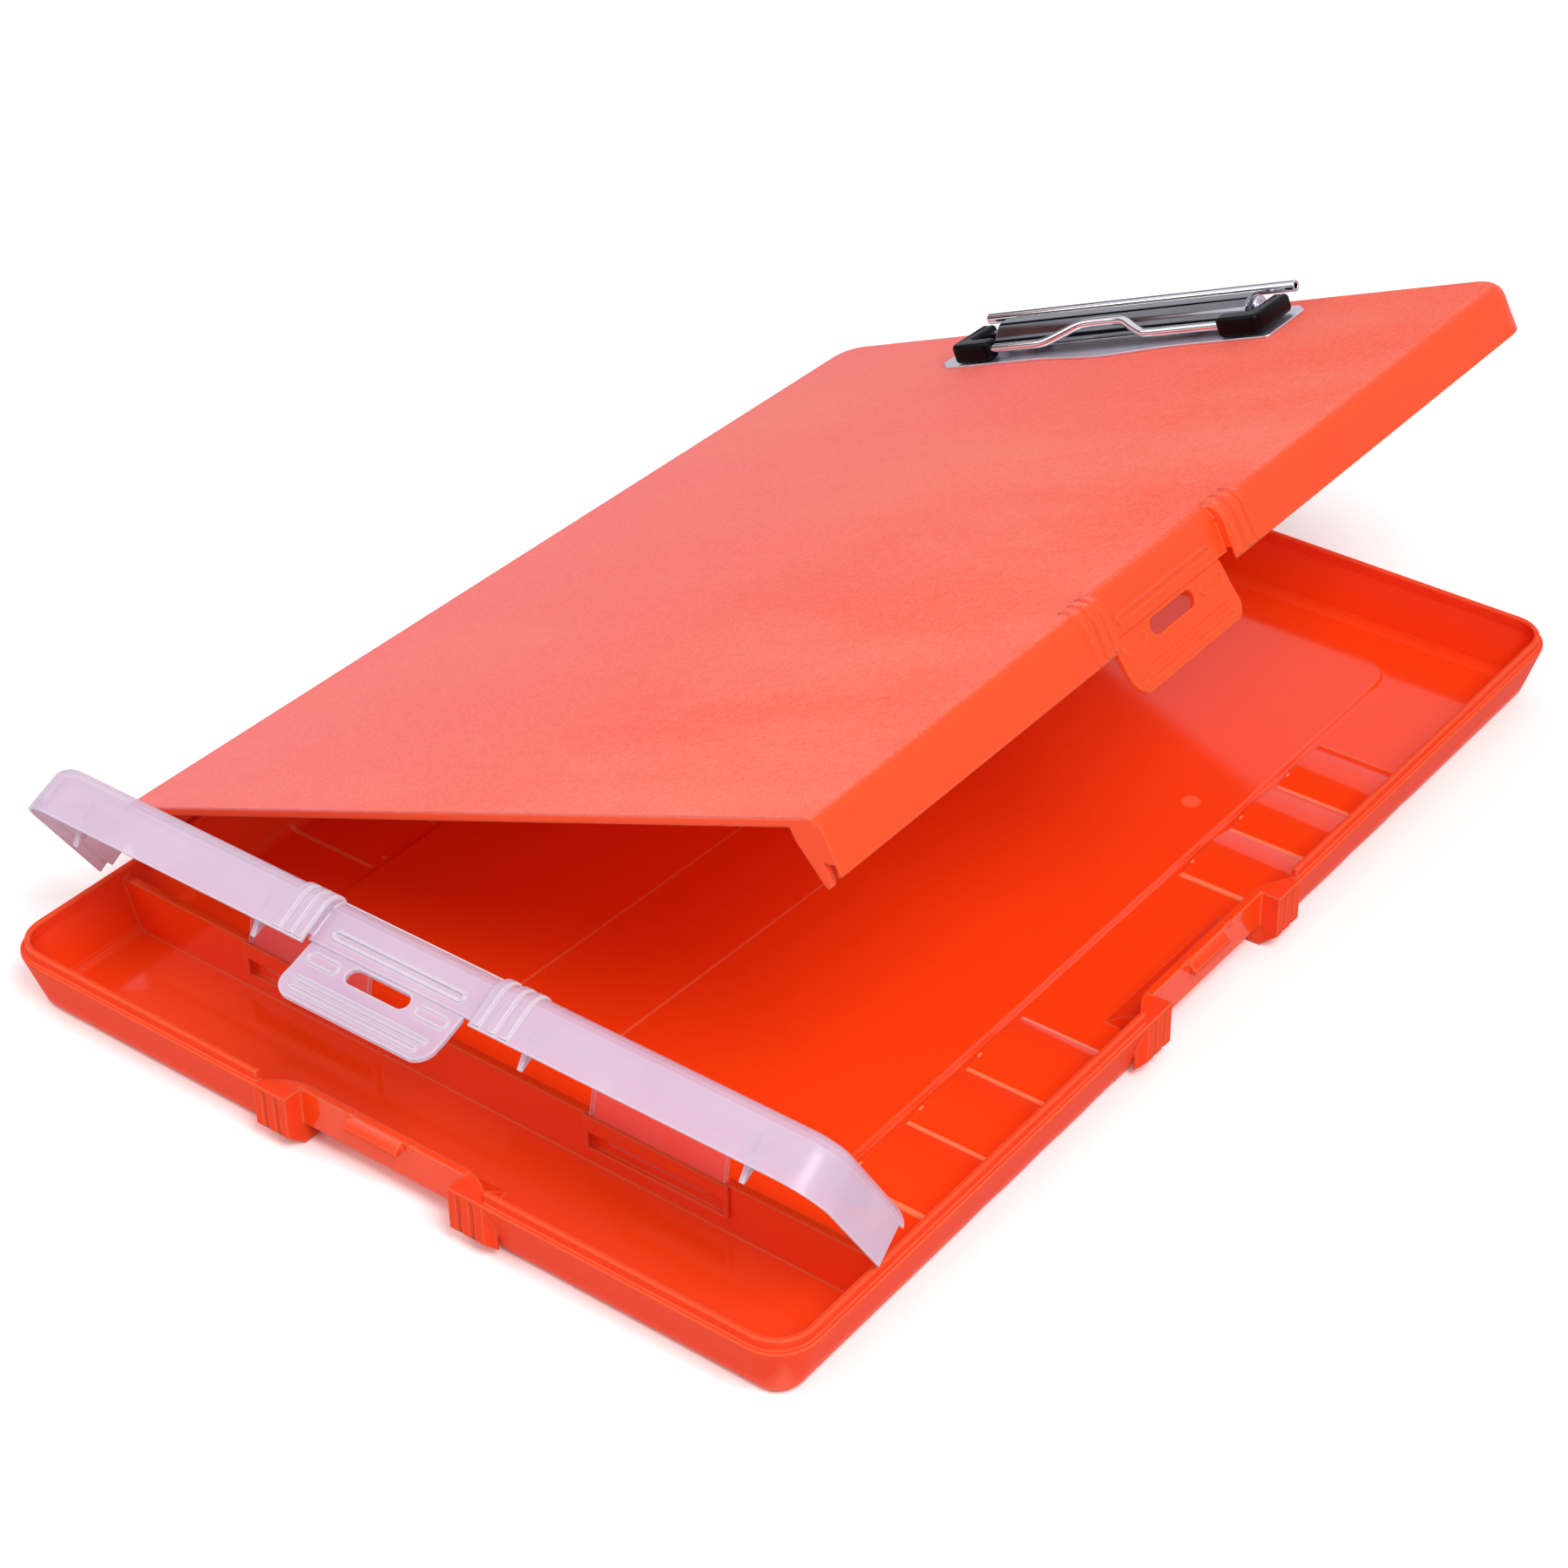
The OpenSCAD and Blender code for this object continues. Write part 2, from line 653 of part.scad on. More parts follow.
// Faces of a tube whose points run ring by ring, with both ends closed
function tube_faces(rings, sides) = concat(
    [for (i = [0:rings - 1], j = [0:sides - 1]) let (k = (j + 1) % sides)
        [sides * i + j, sides * i + k, sides * (i + 1) + k, sides * (i + 1) + j]],
    [[for (j = [sides - 1:-1:0]) j], [for (j = [0:sides - 1]) sides * rings + j]]);

// One unbroken helix of wire round the rod
module helix(radius, wire, pitch, turns) {
    rings = 8 * turns;
    sides = 6;
    points = [for (i = [0:rings], j = [0:sides - 1])
        let (a = 45 * i, b = 60 * j, q = radius + wire * cos(b))
        [pitch * turns * (i / rings - 0.5) + wire * sin(b), q * cos(a), q * sin(a)]];
    polyhedron(points, tube_faces(rings, sides));
}

// Least gap of a coil to itself, measured on its middle line from one turn to the next
function coil_at(a) = [coil_pitch * a / 360, coil_r * cos(a), coil_r * sin(a)];
echo(coil_self_gap = min([for (a = [0:15:360], b = [a + 240:15:a + 480])
    norm(coil_at(b) - coil_at(a))]) - 2 * coil_wire);

module clip_spring(side) color("silver") clip_pose()
    translate([side * coil_x, pivot_y, pivot_z]) helix(coil_r, coil_wire, coil_pitch, coil_turns);
module clip_spring_left() clip_spring(-1);
module clip_spring_right() clip_spring(1);

// Bent sheet over the springs, with a rolled rear edge and a flange at each end
module clip_lever() color("silver") clip_pose() {
    at_pivot(-flange_x - flange_t, flange_x + flange_t) polygon(concat(sheet_top,
        [for (i = [len(sheet_top) - 1:-1:0]) sheet_top[i] - [0, sheet_t]]));
    at_pivot(-tube_half, tube_half) translate([tube_y, tube_z]) difference() {
        circle(tube_r, $fn = 32);
        circle(tube_r - 0.7, $fn = 32);
    }
    both_x() at_pivot(flange_x, flange_x + flange_t) difference() {
        union() {
            circle(2.6);
            polygon([[-2.5, 0], [-3.2, 3.3], [2, 3.5], [2.5, 0]]);
        }
        circle(rod_r + 0.05);
    }
}

// Rise of the jaw wire's hump at x
function ease(t) = let (c = min(max(t, 0), 1)) c * c * (3 - 2 * c);
function hump_at(x) = hump_rise * ease((x - hump_x[0]) / (hump_x[1] - hump_x[0]))
    * ease((hump_x[3] - x) / (hump_x[3] - hump_x[2]));

// Round wire with a raised hump in the middle, as rings square to its path
module clip_jaw_wire() color("silver") clip_pose() translate([0, jaw_y, jaw_z])
    rotate([hump_tilt, 0, 0]) {
        sides = 16;
        stations = concat([-wire_half], [for (i = [0:7]) hump_x[0] + (hump_x[1] - hump_x[0]) * i / 7],
            [for (i = [0:7]) hump_x[2] + (hump_x[3] - hump_x[2]) * i / 7], [wire_half]);
        points = [for (x = stations, j = [0:sides - 1])
            let (slope = atan((hump_at(x + 0.2) - hump_at(x - 0.2)) / 0.4), b = 360 * j / sides)
            [x - wire_r * cos(b) * sin(slope), hump_at(x) + wire_r * cos(b) * cos(slope), wire_r * sin(b)]];
        polyhedron(points, tube_faces(len(stations) - 1, sides));
    }

// Plan of a grip on the right: a front arm and a side arm with rounded corners
module grip_plan() {
    y0 = jaw_y - grip_w / 2;
    difference() {
        union() {
            translate([grip_inner, y0]) square([grip_outer - grip_inner, grip_w]);
            translate([grip_outer - arm_t, y0 + 1]) square([arm_t, pivot_y - y0 - 1]);
        }
        translate([grip_outer - grip_round, y0 - 0.01]) difference() {
            square(grip_round + 0.01);
            translate([0, grip_round]) circle(grip_round);
        }
    }
}

module grip() {
    difference() {
        union() {
            translate([0, 0, grip_z]) linear_extrude(grip_h) grip_plan();
            at_pivot(grip_outer - arm_t, grip_outer) circle(grip_h / 2);
        }
        at_pivot(grip_outer - arm_t - 1, rod_half + 0.2) circle(rod_r + 0.05);
        translate([grip_inner - 1, jaw_y, jaw_z]) rotate([0, 90, 0])
            cylinder(r = wire_r + 0.05, h = wire_half - grip_inner + 1.2);
    }
}
module clip_grip_right() color([0.08, 0.08, 0.09]) clip_pose() grip();
module clip_grip_left() color([0.08, 0.08, 0.09]) clip_pose() mirror([1, 0, 0]) grip();

// ---- Nodes -----------------------------------------------------------------

base_tray();
main_hinge_pin_front();
main_hinge_pin_middle();
main_hinge_pin_rear();
pen_hinge_leaf_left();
pen_hinge_leaf_right();
main_lid();
main_lid_latch();
pen_lid();
pen_lid_latch();
clip_base_plate();
clip_rivet_left();
clip_rivet_right();
clip_pivot_rod();
clip_spring_left();
clip_spring_right();
clip_lever();
clip_jaw_wire();
clip_grip_left();
clip_grip_right();
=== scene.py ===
"""Storage clipboard box: an orange-red polypropylene tray with a grained writing lid that
carries a spring clip, and a milky pen lid over the front compartment."""
import math

import bmesh
import bpy
from mathutils import Matrix, Vector


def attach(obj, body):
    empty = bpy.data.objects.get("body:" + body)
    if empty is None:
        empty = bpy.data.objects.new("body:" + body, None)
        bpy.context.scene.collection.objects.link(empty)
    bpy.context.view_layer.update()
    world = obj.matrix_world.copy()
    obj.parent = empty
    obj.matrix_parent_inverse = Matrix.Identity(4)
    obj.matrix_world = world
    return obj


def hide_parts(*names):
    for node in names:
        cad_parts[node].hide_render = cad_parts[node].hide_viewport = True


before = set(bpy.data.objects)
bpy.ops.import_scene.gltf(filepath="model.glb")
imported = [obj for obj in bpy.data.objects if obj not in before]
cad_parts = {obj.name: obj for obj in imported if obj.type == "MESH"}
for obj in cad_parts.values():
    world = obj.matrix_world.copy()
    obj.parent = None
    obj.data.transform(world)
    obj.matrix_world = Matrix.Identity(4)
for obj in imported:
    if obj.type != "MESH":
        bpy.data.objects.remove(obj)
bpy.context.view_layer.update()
MM = 0.001

# ---- Tray --------------------------------------------------------------------
# One injection moulding in orange-red polypropylene: floor, walls, divider, latch bays
# and hinge knuckles. It is semi-gloss inside, and its softened edges carry a painted highlight.


def linear(hex_colour):
    """A colour written as in a picture editor, as the linear values a shader takes."""
    parts = [int(hex_colour[i:i + 2], 16) / 255 for i in (0, 2, 4)]
    return tuple(c / 12.92 if c <= 0.04045 else ((c + 0.055) / 1.055) ** 2.4 for c in parts) + (1.0,)


class Wiring:
    """Short calls for the nodes of one material or node group."""

    def __init__(self, tree):
        self.tree = tree

    def node(self, kind, **settings):
        made = self.tree.nodes.new(kind)
        for name, value in settings.items():
            setattr(made, name, value)
        return made

    def link(self, source, target):
        self.tree.links.new(source, target)

    def math(self, operation, a, b=None, clamp=False):
        made = self.node("ShaderNodeMath", operation=operation, use_clamp=clamp)
        for socket, value in zip(made.inputs, (a, b)):
            if isinstance(value, (int, float)):
                socket.default_value = value
            elif value is not None:
                self.link(value, socket)
        return made.outputs[0]

    def mix(self, factor, a, b, kind="RGBA"):
        made = self.node("ShaderNodeMix", data_type=kind)
        # The Mix node's sockets for each kind: factor, A, B and the result
        *taken, result = {"RGBA": (0, 6, 7, 2), "FLOAT": (0, 2, 3, 0)}[kind]
        for index, value in zip(taken, (factor, a, b)):
            if isinstance(value, (int, float, tuple)):
                made.inputs[index].default_value = value
            else:
                self.link(value, made.inputs[index])
        return made.outputs[result]

    def ramp(self, value, low, high):
        """0 below low, 1 above high, and smooth between them."""
        made = self.node("ShaderNodeMapRange", interpolation_type="SMOOTHSTEP")
        self.link(value, made.inputs["Value"])
        made.inputs["From Min"].default_value, made.inputs["From Max"].default_value = low, high
        return made.outputs["Result"]

    def inside(self, value, low, high, soft):
        """1 between low and high, in millimetres, and 0 outside, with soft ends."""
        return self.math("MULTIPLY", self.ramp(value, (low - soft) * MM, low * MM),
                         self.math("SUBTRACT", 1.0, self.ramp(value, high * MM, (high + soft) * MM)))

    def noise(self, coordinates, scale, detail=3.0, rough=0.5, stretch=(1, 1, 1)):
        if stretch != (1, 1, 1):
            shape = self.node("ShaderNodeMapping")
            shape.inputs["Scale"].default_value = stretch
            self.link(coordinates, shape.inputs["Vector"])
            coordinates = shape.outputs["Vector"]
        made = self.node("ShaderNodeTexNoise")
        made.inputs["Scale"].default_value = scale
        made.inputs["Detail"].default_value = detail
        made.inputs["Roughness"].default_value = rough
        self.link(coordinates, made.inputs["Vector"])
        return made.outputs["Fac"]

    def bump(self, height, strength, distance, normal=None):
        made = self.node("ShaderNodeBump")
        made.inputs["Strength"].default_value = strength
        made.inputs["Distance"].default_value = distance
        self.link(height, made.inputs["Height"])
        if normal is not None:
            self.link(normal, made.inputs["Normal"])
        return made.outputs["Normal"]

    def group(self, tree, **values):
        made = self.node("ShaderNodeGroup", node_tree=tree)
        for name, value in values.items():
            made.inputs[name].default_value = value
        return made.outputs


def new_group(name, inputs, outputs):
    """A shader node group with float inputs (name: default) and outputs (name: kind)."""
    tree = bpy.data.node_groups.new(name, "ShaderNodeTree")
    for label, value in inputs.items():
        socket = tree.interface.new_socket(label, in_out="INPUT", socket_type="NodeSocketFloat")
        socket.default_value = value
    for label, kind in outputs.items():
        tree.interface.new_socket(label, in_out="OUTPUT", socket_type=kind)
    wire = Wiring(tree)
    return wire, wire.node("NodeGroupInput").outputs, wire.node("NodeGroupOutput").inputs


def soft_edges_group():
    """Rounds the shading at edges, and gives a mask of the band along them."""
    wire, given, result = new_group("soft_edges", {"Radius": 0.6 * MM, "Gain": 6.0},
                                    {"Normal": "NodeSocketVector", "Edge": "NodeSocketFloat"})
    rounding = wire.node("ShaderNodeBevel", samples=4)
    wire.link(given["Radius"], rounding.inputs["Radius"])
    geometry = wire.node("ShaderNodeNewGeometry")
    likeness = wire.node("ShaderNodeVectorMath", operation="DOT_PRODUCT")
    wire.link(rounding.outputs["Normal"], likeness.inputs[0])
    wire.link(geometry.outputs["Normal"], likeness.inputs[1])
    turned = wire.math("SUBTRACT", 1.0, likeness.outputs["Value"])
    wire.link(wire.math("MULTIPLY", turned, given["Gain"], clamp=True), result["Edge"])
    wire.link(rounding.outputs["Normal"], result["Normal"])
    return wire.tree


def mould_flow_group():
    """Slow waves and faint dust of a moulded surface: a height, and a change of roughness."""
    wire, given, result = new_group("mould_flow", {"Waves": 1.0, "Dust": 1.0},
                                    {"Height": "NodeSocketFloat", "Rough": "NodeSocketFloat"})
    place = wire.node("ShaderNodeTexCoord").outputs["Object"]
    waves = wire.noise(place, 9.0, 2.0)
    dust = wire.noise(place, 900.0, 2.0, 0.6)
    scuffs = wire.ramp(wire.noise(place, 60.0, 4.0, 0.65, (1, 0.25, 1)), 0.55, 0.75)
    wire.link(wire.math("MULTIPLY", waves, given["Waves"]), result["Height"])
    specks = wire.math("MULTIPLY", wire.ramp(dust, 0.62, 0.74), 0.10)
    marks = wire.math("MULTIPLY", scuffs, 0.05)
    wire.link(wire.math("MULTIPLY", wire.math("ADD", specks, marks), given["Dust"]), result["Rough"])
    return wire.tree


def new_material(name):
    made = bpy.data.materials.new(name)
    made.use_nodes = True
    return made, Wiring(made.node_tree), made.node_tree.nodes["Principled BSDF"].inputs


soft_edges, mould_flow = soft_edges_group(), mould_flow_group()
half_width, half_length = 120 * MM, 175 * MM
polish_end, dull_start = 114.5 * MM, 117.0 * MM
scallop_half_pitch, glint_shift = 12 * MM, 5 * MM
faint_line_skew, faint_line_shift = 0.0386, 1.0 * MM
ejector_mark = Vector((70.7, 64.0, 2.8)) * MM
# In millimetres, as inside() takes them
scallop_start, ejector_radius = 85, 2.2


def floor_highlights_and_marks(wire, place, x, y, z):
    """The painted highlights and pale marks on the tray's floor, each as a mask and the share that it
    shows at.
    """
    far_x, far_y = wire.math("ABSOLUTE", x), wire.math("ABSOLUTE", y)
    # A painted highlight along the sharp creases between the humps over the finger scallops
    from_hump = wire.math("PINGPONG", y, scallop_half_pitch)
    crease_highlight = wire.inside(wire.math("SUBTRACT", scallop_half_pitch, from_hump), -1, 0.55, 0.25)
    for value, low, high in ((far_x, scallop_start, 113), (far_y, 35, 109.5), (z, -1, 4.4)):
        crease_highlight = wire.math("MULTIPLY", crease_highlight, wire.inside(value, low, high, 0.6))
    # A painted glint at each hump's end, beside the raised panel
    shifted = wire.math("PINGPONG", wire.math("SUBTRACT", y, glint_shift), scallop_half_pitch)
    glint = wire.inside(wire.math("SUBTRACT", scallop_half_pitch, shifted), -1, 0.3, 0.7)
    ends = (far_x, scallop_start - 0.4, scallop_start + 0.4)
    for value, low, high in (ends, (far_y, 38, 106), (z, 2, 4.4)):
        glint = wire.math("MULTIPLY", glint, wire.inside(value, low, high, 0.7))
    # Two faint pale lines, and the round mark of an ejector pin, on the raised panel
    skewed = wire.math("SUBTRACT", x, wire.math("MULTIPLY", y, faint_line_skew))
    pair = wire.math("ABSOLUTE", wire.math("ADD", skewed, faint_line_shift))
    faint_lines = wire.math("MULTIPLY", wire.inside(pair, 15.95, 16.55, 0.25), wire.inside(y, -100, -17, 3))
    reach = wire.node("ShaderNodeVectorMath", operation="DISTANCE")
    wire.link(place, reach.inputs[0])
    reach.inputs[1].default_value = ejector_mark
    disc = wire.inside(reach.outputs["Value"], -1, ejector_radius, 0.8)
    return (crease_highlight, 0.75), (glint, 1.0), (faint_lines, 0.35), (disc, 0.35)


def tray_polypropylene():
    made, wire, shader = new_material("tray_polypropylene")
    edges = wire.group(soft_edges, Radius=0.9 * MM, Gain=5.0)
    flow = wire.group(mould_flow, Waves=1.0, Dust=0.4)
    place = wire.node("ShaderNodeTexCoord").outputs["Object"]
    parts = wire.node("ShaderNodeSeparateXYZ")
    wire.link(place, parts.inputs[0])
    x, y, z = parts.outputs
    # The polish of the inside gives way to duller plastic toward the outer walls
    end = wire.math("SUBTRACT", wire.math("ABSOLUTE", y), half_length - half_width)
    outside = wire.ramp(wire.math("MAXIMUM", wire.math("ABSOLUTE", x), end), polish_end, dull_start)
    body = wire.mix(outside, linear("ff4914"), linear("fb4824"))
    # A painted highlight along the edges, joined by the floor's painted highlights and pale marks
    lines = wire.math("MULTIPLY", edges["Edge"], 0.6)
    for mark, share in floor_highlights_and_marks(wire, place, x, y, z):
        lines = wire.math("MAXIMUM", lines, wire.math("MULTIPLY", mark, share))
    wire.link(wire.mix(lines, body, linear("ff9b6e")), shader["Base Color"])
    wire.link(wire.math("ADD", flow["Rough"], wire.mix(outside, 0.3, 0.42, "FLOAT")),
              shader["Roughness"])
    wire.link(wire.mix(outside, 0.7, 0.0, "FLOAT"), shader["Coat Weight"])
    shader["Coat Roughness"].default_value = 0.1
    shader["Specular IOR Level"].default_value = 0.04
    wire.link(wire.bump(flow["Height"], 0.25, 1.2 * MM, edges["Normal"]), shader["Normal"])
    return made


tray_finish = tray_polypropylene()


def dress(node, material):
    """Gives a CAD node its finish, and leaves its mesh as it is."""
    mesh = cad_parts[node].data
    mesh.materials.clear()
    mesh.materials.append(material)


dress("base_tray", tray_finish)

# ---- Main hinge pins ---------------------------------------------------------
# Three drawn steel pins run through the knuckles of the tray and the writing lid. The lid
# turns on them, and they stay with the tray.


def drawn_steel():
    made, wire, shader = new_material("drawn_steel")
    place = wire.node("ShaderNodeTexCoord").outputs["Object"]
    lines = wire.noise(place, 2500.0, 3.0, 0.6, (1, 0.03, 1))
    wire.link(wire.mix(lines, linear("a9a9ac"), linear("d4d4d6")), shader["Base Color"])
    wire.link(wire.math("ADD", wire.math("MULTIPLY", lines, 0.2), 0.25), shader["Roughness"])
    shader["Metallic"].default_value = 1.0
    wire.link(wire.bump(lines, 0.3, 0.02 * MM), shader["Normal"])
    return made


steel_finish = drawn_steel()
for station in ("front", "middle", "rear"):
    dress("main_hinge_pin_" + station, steel_finish)

# ---- Writing lid -------------------------------------------------------------
# One moulding in the same polypropylene. Its flat top has a fine matte grain to write on,
# the rounded skirt is smooth, and it turns about the three hinge pins.

hinge_axis = Vector((-124, 0, 16)) * MM
lid_turn = math.radians(22.2)
lid_pose = (Matrix.Translation(hinge_axis) @ Matrix.Rotation(lid_turn, 4, (0, -1, 0))
            @ Matrix.Translation(-hinge_axis))


def closed_place(wire, pose):
    """Object coordinates turned back to those of the closed lid, as X, Y and Z sockets."""
    back = pose.inverted()
    turn = wire.node("ShaderNodeMapping")
    turn.inputs["Rotation"].default_value = back.to_euler("XYZ")
    turn.inputs["Location"].default_value = back.to_translation()
    wire.link(wire.node("ShaderNodeTexCoord").outputs["Object"], turn.inputs["Vector"])
    parts = wire.node("ShaderNodeSeparateXYZ")
    wire.link(turn.outputs["Vector"], parts.inputs[0])
    return parts.outputs


def fine_grain_group():
    """The spark-eroded grain of a matte moulded face: round bumps about 0.4 mm apart."""
    wire, given, result = new_group("fine_grain", {"Scale": 2400.0, "Coarse": 0.4},
                                    {"Height": "NodeSocketFloat"})
    place = wire.node("ShaderNodeTexCoord").outputs["Object"]
    cells = wire.node("ShaderNodeTexVoronoi", feature="SMOOTH_F1")
    wire.link(place, cells.inputs["Vector"])
    wire.link(given["Scale"], cells.inputs["Scale"])
    bumps = wire.math("SUBTRACT", 1.0, cells.outputs["Distance"])
    patches = wire.math("MULTIPLY", wire.noise(place, 500.0, 2.0), given["Coarse"])
    wire.link(wire.math("ADD", bumps, patches), result["Height"])
    return wire.tree


fine_grain = fine_grain_group()


def lid_polypropylene():
    made, wire, shader = new_material("lid_polypropylene")
    edges = wire.group(soft_edges, Radius=0.9 * MM, Gain=4.0)
    flow = wire.group(mould_flow, Waves=0.5, Dust=0.4)
    place = closed_place(wire, lid_pose)
    top = wire.ramp(place["Z"], 29.2 * MM, 29.95 * MM)
    # The skirt is painted lighter along its edges: a painted highlight
    skirt = wire.mix(wire.math("MULTIPLY", edges["Edge"], 0.45), linear("ff4e1d"), linear("ff945d"))
    # The grained face is painted pinker than the skirt, and pinker still toward the hinges: a painted
    # sheen. It has broad soft streaks
    across = wire.ramp(place["X"], -130 * MM, 120 * MM)
    face = wire.mix(across, linear("ff7777"), linear("ff5d40"))
    streaks = wire.noise(wire.node("ShaderNodeTexCoord").outputs["Object"], 9.0, 4.0, 0.55, (1, 2.5, 1))
    face = wire.mix(wire.math("MULTIPLY", wire.ramp(streaks, 0.35, 0.75), 0.5), face, linear("ff8572"))
    speckle = wire.group(fine_grain, Scale=1500.0, Coarse=0.8)["Height"]
    face = wire.mix(wire.math("MULTIPLY", wire.ramp(speckle, 0.7, 1.3), 0.16), face, linear("ffb8a4"))
    wire.link(wire.mix(top, skirt, face), shader["Base Color"])
    wire.link(wire.math("ADD", wire.mix(top, 0.36, 0.62, "FLOAT"), flow["Rough"]), shader["Roughness"])
    shader["Specular IOR Level"].default_value = 0.28
    height = wire.math("MULTIPLY", wire.group(fine_grain, Scale=2400.0, Coarse=0.4)["Height"], top)
    smooth = wire.bump(flow["Height"], 0.2, 0.8 * MM, edges["Normal"])
    wire.link(wire.bump(height, 0.5, 0.05 * MM, smooth), shader["Normal"])
    return made


lid_finish = lid_polypropylene()
dress("main_lid", lid_finish)

# ---- Writing lid's latch -----------------------------------------------------
# Part of the lid's moulding: a slotted tab that hangs on a thin film hinge and snaps over
# the tray's catch. The film is a strip half a millimetre thick between the skirt and the tab.

sharp_angle = math.radians(35)
tab_low, tab_high = -24.3 * MM, 21.3 * MM
right_side = Matrix.Translation((half_width, 0, 0)) @ Matrix.Rotation(math.radians(90), 4, "Z")
near_side = Matrix.Translation((0, -half_length, 0))

dress("main_lid_latch", lid_finish)


def finished(name, points, faces, material):
    """A piece whose mesh is in the row frame, with its normals outward."""
    mesh = bpy.data.meshes.new(name)
    work = bmesh.new()
    corners = [work.verts.new(p) for p in points]
    for face in faces:
        work.faces.new([corners[i] for i in face])
    bmesh.ops.recalc_face_normals(work, faces=work.faces)
    work.to_mesh(mesh)
    work.free()
    mesh.materials.append(material)
    piece = bpy.data.objects.new(name, mesh)
    bpy.context.scene.collection.objects.link(piece)
    mesh.shade_smooth()
    mesh.set_sharp_from_angle(angle=sharp_angle)
    return piece


def extruded(name, outline, low, high, pose, material):
    """A closed outline in Y and Z, in metres, extruded along X from low to high, then posed."""
    count = len(outline)
    points = [pose @ Vector((x, y, z)) for x in (low, high) for y, z in outline]
    faces = [(i, (i + 1) % count, count + (i + 1) % count, count + i) for i in range(count)]
    faces += [tuple(range(count)), tuple(range(count, 2 * count))]
    return finished(name, points, faces, material)


film_section = [(u * MM, z * MM) for u, z in
                ((2.95, 18.6), (2.95, 17.35), (3.1, 17.25), (3.35, 17.25), (3.45, 17.35), (3.45, 18.6))]
lid_film = extruded("writing_lid_film_hinge", film_section, tab_low, tab_high,
                    lid_pose @ right_side, lid_finish)
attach(lid_film, "writing_lid")

# ---- Pen lid -----------------------------------------------------------------
# A thinner moulding in milky, translucent polypropylene over the pen compartment. It is
# whitest along its rims, ribs and outlines, where it is seen edge on: partly the thicker plastic there,
# partly a painted highlight.

pen_axis = Vector((0, -134.5, 26.4)) * MM
pen_turn = math.radians(58)
alpha_spread = 0.16
pen_pose = (Matrix.Translation(pen_axis) @ Matrix.Rotation(pen_turn, 4, (-1, 0, 0))
            @ Matrix.Translation(-pen_axis))


def milky_polypropylene(name, body_alpha, edge_alpha):
    made, wire, shader = new_material(name)
    edges = wire.group(soft_edges, Radius=0.8 * MM, Gain=11.0)
    flow = wire.group(mould_flow, Waves=0.6, Dust=0.4)
    cloud = wire.noise(wire.node("ShaderNodeTexCoord").outputs["Object"], 30.0, 3.0, 0.6)
    body = wire.mix(cloud, linear("d6b7d8"), linear("ecdaec"))
    # Whiter and more opaque along the edges: partly thicker plastic, partly a painted highlight
    wire.link(wire.mix(edges["Edge"], body, linear("fcfaff")), shader["Base Color"])
    thin = wire.math("ADD", wire.math("MULTIPLY", cloud, alpha_spread), body_alpha - alpha_spread / 2)
    wire.link(wire.mix(edges["Edge"], thin, edge_alpha, "FLOAT"), shader["Alpha"])
    wire.link(wire.math("ADD", flow["Rough"], 0.30), shader["Roughness"])
    wire.link(wire.bump(flow["Height"], 0.2, 0.8 * MM, edges["Normal"]), shader["Normal"])
    return made


milky_finish = milky_polypropylene("milky_polypropylene", 0.68, 0.97)
dress("pen_lid", milky_finish)

# ---- Pen lid's latch ---------------------------------------------------------
# The same slotted tab on a film hinge, in the pen lid's own milky moulding. It snaps over
# the catch in the near wall's bay.

dress("pen_lid_latch", milky_finish)
pen_film = extruded("pen_lid_film_hinge", film_section, tab_low, tab_high,
                    pen_pose @ near_side, milky_finish)
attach(pen_film, "pen_compartment_lid")

# ---- Pen lid's hinge leaves --------------------------------------------------
# Two milky leaves snapped into pockets of the divider, each ending in a bead at the pen
# lid's hinge axis. A strap of the tray's moulding, between two posts, crosses each leaf,
# and the leaf's foot shows below it.

leaf_finish = milky_polypropylene("milky_leaf", 0.1, 0.85)
for side in ("left", "right"):
    dress("pen_hinge_leaf_" + side, leaf_finish)

strap_front, strap_back = -138.25 * MM, -137.52 * MM
# In millimetres, as the straps' outline is drawn
pocket_start, pocket_end, divider_top = 34, 74, 16
post_out, post_in, post_foot, strap_foot = 1.0, 0.3, 6.5, 11.4


def leaf_strap(sign):
    """A strap and its two posts, drawn across the divider and extruded through their thickness."""
    start_out, start_in = pocket_start - post_out, pocket_start + post_in
    end_in, end_out = pocket_end - post_in, pocket_end + post_out
    corners = [(start_out, divider_top), (end_out, divider_top), (end_out, post_foot),
               (end_in, post_foot), (end_in, strap_foot), (start_in, strap_foot),
               (start_in, post_foot), (start_out, post_foot)]
    outline = [(-sign * x * MM, z * MM) for x, z in corners]
    return extruded("strap", outline, strap_front, strap_back,
                    Matrix.Rotation(math.radians(90), 4, "Z"), tray_finish)


def joined(pieces, name):
    """Several meshes as one piece that keeps each mesh's own material."""
    work = bmesh.new()
    finishes = []
    for piece in pieces:
        finish = piece.data.materials[0]
        if finish not in finishes:
            finishes.append(finish)
        first = len(work.faces)
        work.from_mesh(piece.data)
        work.faces.ensure_lookup_table()
        for face in work.faces[first:]:
            face.material_index = finishes.index(finish)
        bpy.data.objects.remove(piece)
    mesh = bpy.data.meshes.new(name)
    work.to_mesh(mesh)
    work.free()
    for finish in finishes:
        mesh.materials.append(finish)
    mesh.set_sharp_from_angle(angle=sharp_angle)
    whole = bpy.data.objects.new(name, mesh)
    bpy.context.scene.collection.objects.link(whole)
    return whole


straps = joined([leaf_strap(-1), leaf_strap(1)], "divider_leaf_straps")
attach(straps, "tray")

# ---- Clip base plate and rivets ----------------------------------------------
# A chromed steel plate, riveted flat to the lid's top, with a bulged front edge and two
# ears that carry the pivot rod.

clip_shift, plate_top = 4.4 * MM, 30.8 * MM
clip_frame = lid_pose @ Matrix.Translation((clip_shift, 0, 0))
merge_gap = 0.002 * MM


